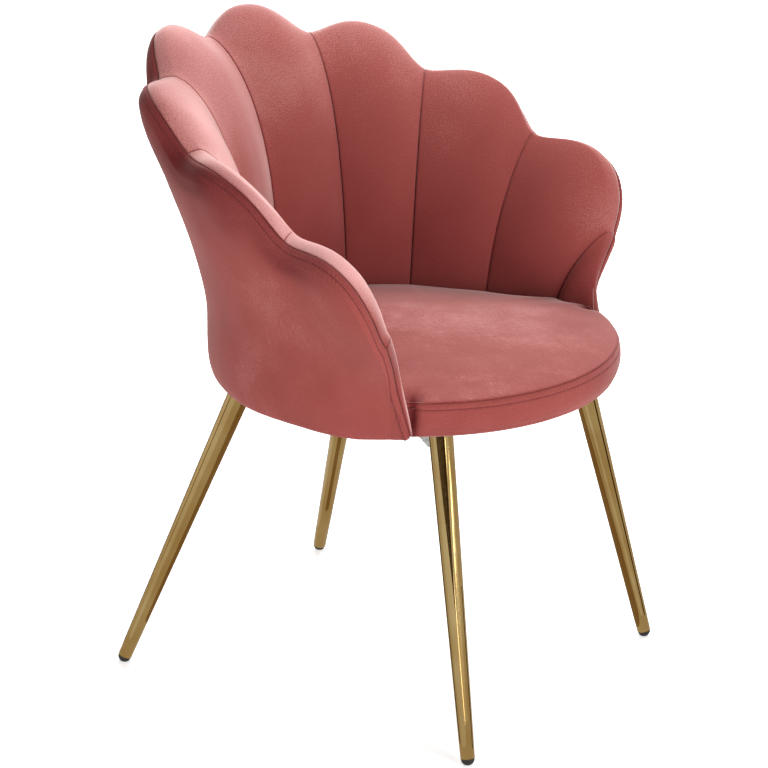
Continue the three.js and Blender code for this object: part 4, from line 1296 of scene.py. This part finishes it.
def stitch_tree():
    """Geometry nodes that lay one short thread at each even step along a path."""
    tree = bpy.data.node_groups.new("stitches_along_path", "GeometryNodeTree")
    tree.interface.new_socket("Geometry", in_out="INPUT", socket_type="NodeSocketGeometry")
    for name in ("Pitch", "Length", "Thickness"):
        tree.interface.new_socket(name, in_out="INPUT", socket_type="NodeSocketFloat")
    tree.interface.new_socket("Thread", in_out="INPUT", socket_type="NodeSocketMaterial")
    tree.interface.new_socket("Geometry", in_out="OUTPUT", socket_type="NodeSocketGeometry")
    given = add_node(tree, "NodeGroupInput").outputs
    path = add_node(tree, "GeometryNodeMeshToCurve", {"Mesh": given["Geometry"]})
    steps = add_node(tree, "GeometryNodeResampleCurve", {
        "Curve": path, "Length": given["Pitch"],
    }, mode="LENGTH")
    tangent = add_node(tree, "GeometryNodeInputTangent")
    turn = add_node(tree, "FunctionNodeAlignRotationToVector", {"Vector": tangent}, axis="Z")
    slimness = add_node(tree, "ShaderNodeMath", {
        0: given["Thickness"], 1: given["Length"],
    }, operation="DIVIDE")
    bead = add_node(tree, "GeometryNodeMeshUVSphere", {"Segments": 6, "Rings": 4, "Radius": 0.5})
    slim = add_node(tree, "ShaderNodeCombineXYZ", {0: slimness, 1: slimness, 2: 1.0})
    long = add_node(tree, "ShaderNodeVectorMath", {
        0: slim, "Scale": given["Length"],
    }, operation="SCALE")
    placed = add_node(tree, "GeometryNodeInstanceOnPoints", {
        "Points": steps, "Instance": bead,
        "Rotation": turn, "Scale": long,
    })
    solid = add_node(tree, "GeometryNodeRealizeInstances", {0: placed})
    finished = add_node(tree, "GeometryNodeSetMaterial", {
        "Geometry": solid, "Material": given["Thread"],
    })
    add_node(tree, "NodeGroupOutput", {0: finished})
    return tree


thread = sewing_thread()
stitches = stitch_tree()


def sew(name, paths, pitch, length, thickness, slot):
    """Stitches of one kind along one or more paths, as one plain mesh."""
    points = [point for path in paths for point in path]
    edges, start = [], 0
    for path in paths:
        edges += [(start + i, start + i + 1) for i in range(len(path) - 1)]
        start += len(path)
    mesh = bpy.data.meshes.new(name + "_path")
    mesh.from_pydata([tuple(map(float, p)) for p in points], edges, [])
    line = add_object(name + "_path", mesh)
    modifier = line.modifiers.new("stitches", "NODES")
    modifier.node_group = stitches
    sizes = {"Pitch": pitch, "Length": length, "Thickness": thickness, "Thread": thread}
    for item in stitches.interface.items_tree:
        if item.in_out == "INPUT" and item.name in sizes:
            modifier[item.identifier] = sizes[item.name]
    bpy.context.view_layer.update()
    made = line.evaluated_get(bpy.context.evaluated_depsgraph_get())
    piece = add_object(name, bpy.data.meshes.new_from_object(made))
    bpy.data.objects.remove(line)
    piece.data.shade_smooth()
    dress(piece, thread, slot)


stitch_pitch = 4.2 * MM
stitch_length = 3.2 * MM
thread_thickness = 0.9 * MM
hidden_pitch = 3.6 * MM
hidden_length = 2.0 * MM
hidden_thickness = 0.5 * MM
sew("rim_topstitching", [topstitch_line], stitch_pitch, stitch_length, thread_thickness, "velvet_outer")
stitched_row = int(round(band_topstitch_drop / (band_top - band_bottom) * (band_rows - 1)))
band_line = band_outside[stitched_row, 6:-6]
sew("band_topstitching", [band_line], stitch_pitch, stitch_length, thread_thickness, "velvet_seat")
# The two first channels share the middle seam, so it is sewn once
seam_paths = [seam[4:-3] for (channel, side), seam in channel_seams.items() if channel > 0 or side > 0]
sew("channel_seam_stitches", seam_paths, hidden_pitch, hidden_length, hidden_thickness, "velvet_channels")

# Camera
# The photograph's own view, worked out from the chair's symmetry and its four feet on one
# floor: a long lens that stands about 3.8 m off and looks a little down.

scene = bpy.context.scene
camera_turn = math.radians(57.12)
camera_tip = math.radians(-19.66)
camera_roll = math.radians(0.531)
camera_place = Vector((-3.04876, -1.96737, 1.68531))
camera = add_object("camera", bpy.data.cameras.new("camera"))
camera.data.sensor_width = 36
camera.data.lens = 133.8
camera.data.clip_end = 60
look = Matrix.Rotation(-camera_turn, 4, "Z") @ Matrix.Rotation(math.pi / 2 + camera_tip, 4, "X")
look = look @ Matrix.Rotation(camera_roll, 4, "Z")
camera.matrix_world = Matrix.Translation(camera_place) @ look
scene.camera = camera

# Studio
# A plain white floor that keeps the chair's soft shadow, even white surroundings, five large soft
# lights, and narrow cards beside the legs that only the polished metal mirrors.


def flat_card(name, corners, material):
    mesh = bpy.data.meshes.new(name)
    mesh.from_pydata(corners, [], [tuple(range(i, i + 4)) for i in range(0, len(corners), 4)])
    card = add_object(name, mesh)
    use_material(card, material)
    return card


def studio_floor():
    """White seamless paper, which shows only from above so that the underside can be looked at. It
    is lifted to white for the camera, more so far away, and the metal mirrors it as a plain tone."""
    material, tree = new_material("white_seamless_paper")
    light_path = add_node(tree, "ShaderNodeLightPath").outputs
    place = add_node(tree, "ShaderNodeTexCoord").outputs["Object"]
    away = add_node(tree, "ShaderNodeVectorMath", {0: place}, operation="LENGTH")
    glow_near, glow_far = 0.8, 2.6
    lift = add_node(tree, "ShaderNodeMapRange", {
        0: away.outputs["Value"], 1: glow_near, 2: glow_far, 3: 0.55, 4: 1.0,
    })
    paper = add_node(tree, "ShaderNodeBsdfDiffuse", {"Color": hex_colour("#f4f4f4")})
    glow = add_node(tree, "ShaderNodeEmission", {"Color": hex_colour("#ffffff"), "Strength": lift})
    lifted = add_node(tree, "ShaderNodeAddShader", {0: paper, 1: glow})
    shown = add_node(tree, "ShaderNodeMixShader", {0: light_path["Is Camera Ray"], 1: paper, 2: lifted})
    mirrored = add_node(tree, "ShaderNodeEmission", {"Color": hex_colour("#dcd6cd"), "Strength": 1.0})
    shown = add_node(tree, "ShaderNodeMixShader", {
        0: light_path["Is Glossy Ray"], 1: shown, 2: mirrored,
    })
    clear = add_node(tree, "ShaderNodeBsdfTransparent")
    behind = add_node(tree, "ShaderNodeNewGeometry").outputs["Backfacing"]
    both = add_node(tree, "ShaderNodeMixShader", {0: behind, 1: shown, 2: clear})
    add_node(tree, "ShaderNodeOutputMaterial", {"Surface": both})
    return material


floor_reach = 20
floor_corners = [(x * floor_reach, y * floor_reach, 0) for x, y in ((-1, -1), (1, -1), (1, 1), (-1, 1))]
flat_card("floor", floor_corners, studio_floor())

world = bpy.data.worlds.new("white_surroundings")
world.use_nodes = True
world.node_tree.nodes.clear()
sky = world.node_tree
light_path = add_node(sky, "ShaderNodeLightPath").outputs
seen = light_path["Is Camera Ray"]
for ray in ("Is Glossy Ray", "Is Transmission Ray"):
    seen = add_node(sky, "ShaderNodeMath", {0: seen, 1: light_path[ray]}, operation="MAXIMUM")
surround = add_node(sky, "ShaderNodeBackground", {"Color": (1, 1, 1, 1), "Strength": 0.1})
white = add_node(sky, "ShaderNodeBackground", {"Color": (1, 1, 1, 1), "Strength": 1.0})
both = add_node(sky, "ShaderNodeMixShader", {0: seen, 1: surround, 2: white})
add_node(sky, "ShaderNodeOutputWorld", {0: both})
scene.world = world

light_target = (0, 0, 0.5)


def soft_light(name, place, size, watts):
    """A large soft rectangle of light that faces the middle of the chair."""
    lamp = bpy.data.lights.new(name, "AREA")
    lamp.shape = "RECTANGLE"
    lamp.size, lamp.size_y = size
    lamp.energy = watts
    holder = add_object(name, lamp)
    holder.location = place
    holder.rotation_euler = (Vector(light_target) - Vector(place)).to_track_quat("-Z", "Y").to_euler()


for name, place, size, watts in (
    ("key_softbox", (1.2, 0.2, 2.8), (1.6, 1.6), 70),
    ("right_softbox", (2.4, 1.4, 2.0), (1.6, 1.6), 76),
    ("left_softbox", (-3.0, 0.8, 0.9), (1.8, 1.4), 26),
    ("front_softbox", (-0.6, -3.0, 1.2), (1.8, 1.6), 60),
    ("low_softbox", (-2.4, -1.0, 0.35), (2.0, 0.6), 16),
):
    soft_light(name, place, size, watts)


def card_tone(name, colour, strength):
    """Card that shows only in the polished metal, at one plain tone."""
    material, tree = new_material(name)
    glow = add_node(tree, "ShaderNodeEmission", {"Color": hex_colour(colour), "Strength": strength})
    add_node(tree, "ShaderNodeOutputMaterial", {"Surface": glow})
    return material


def standing_cards(name, material, cards):
    """Narrow cards that stand beside the legs, each placed by the stripe that it draws: leg and
    side, the stripe's edges across the leg's half width at its foot end and at its head end (-1
    is the leg's left outline), and the part of the leg's length that it covers."""
    corners = []
    for leg, side, at_foot, at_head, (start, end), away in cards:
        foot = Vector((side * leg["foot"][0], leg["foot"][1], 0))
        head = Vector((side * leg["head"][0], leg["head"][1], board_bottom))
        axis = (head - foot).normalized()
        facing = camera_place - foot
        facing = (facing - axis * facing.dot(axis)).normalized()
        beside = axis.cross(facing)
        for share, edges in ((start, at_foot), (end, at_head[::-1])):
            middle = foot + (head - foot) * share
            for edge in edges:
                turn = 2 * math.asin(edge)
                corners.append(middle + away * (math.cos(turn) * facing + math.sin(turn) * beside))
    card = flat_card(name, corners, material)
    for rays in ("camera", "diffuse", "shadow", "transmission"):
        setattr(card, "visible_" + rays, False)


near, far = 60 * MM, 75 * MM
standing_cards("dark_cards", card_tone("black_card", "#45341f", 1.0), [
    (front_leg, -1, (-0.02, 0.02), (-0.44, 0.28), (0.42, 1.0), near),
    (front_leg, -1, (-0.86, -0.76), (-0.92, -0.84), (0.0, 1.0), near),
    (front_leg, -1, (0.70, 0.80), (0.72, 0.80), (0.0, 0.5), near),
    (rear_leg, -1, (-0.99, -0.90), (-0.99, -0.92), (0.0, 1.0), near),
    (rear_leg, -1, (-0.58, -0.53), (-0.56, -0.50), (0.3, 1.0), near),
    (front_leg, 1, (0.56, 0.70), (0.50, 0.62), (0.0, 0.85), near),
])
standing_cards("brown_cards", card_tone("brown_card", "#a58d6f", 1.0), [
    (rear_leg, -1, (0.55, 0.98), (0.45, 0.98), (0.1, 1.0), far),
    (front_leg, 1, (-0.98, -0.10), (-0.98, -0.60), (0.0, 0.85), far),
    (rear_leg, 1, (-0.05, 0.35), (-0.05, 0.35), (0.0, 1.0), far),
])
standing_cards("white_cards", card_tone("white_card", "#f2f6ff", 1.0), [
    (front_leg, -1, (-0.60, 0.00), (-0.62, 0.10), (0.0, 1.0), far),
    (front_leg, -1, (0.10, 0.16), (0.30, 0.50), (0.42, 1.0), near),
    (rear_leg, -1, (-0.48, -0.12), (-0.48, -0.10), (0.0, 1.0), far),
    (rear_leg, 1, (-0.97, -0.50), (-0.97, -0.50), (0.0, 1.0), far),
    (front_leg, 1, (0.10, 0.38), (-0.30, -0.12), (0.0, 0.8), near),
])

scene.view_settings.view_transform = "Standard"
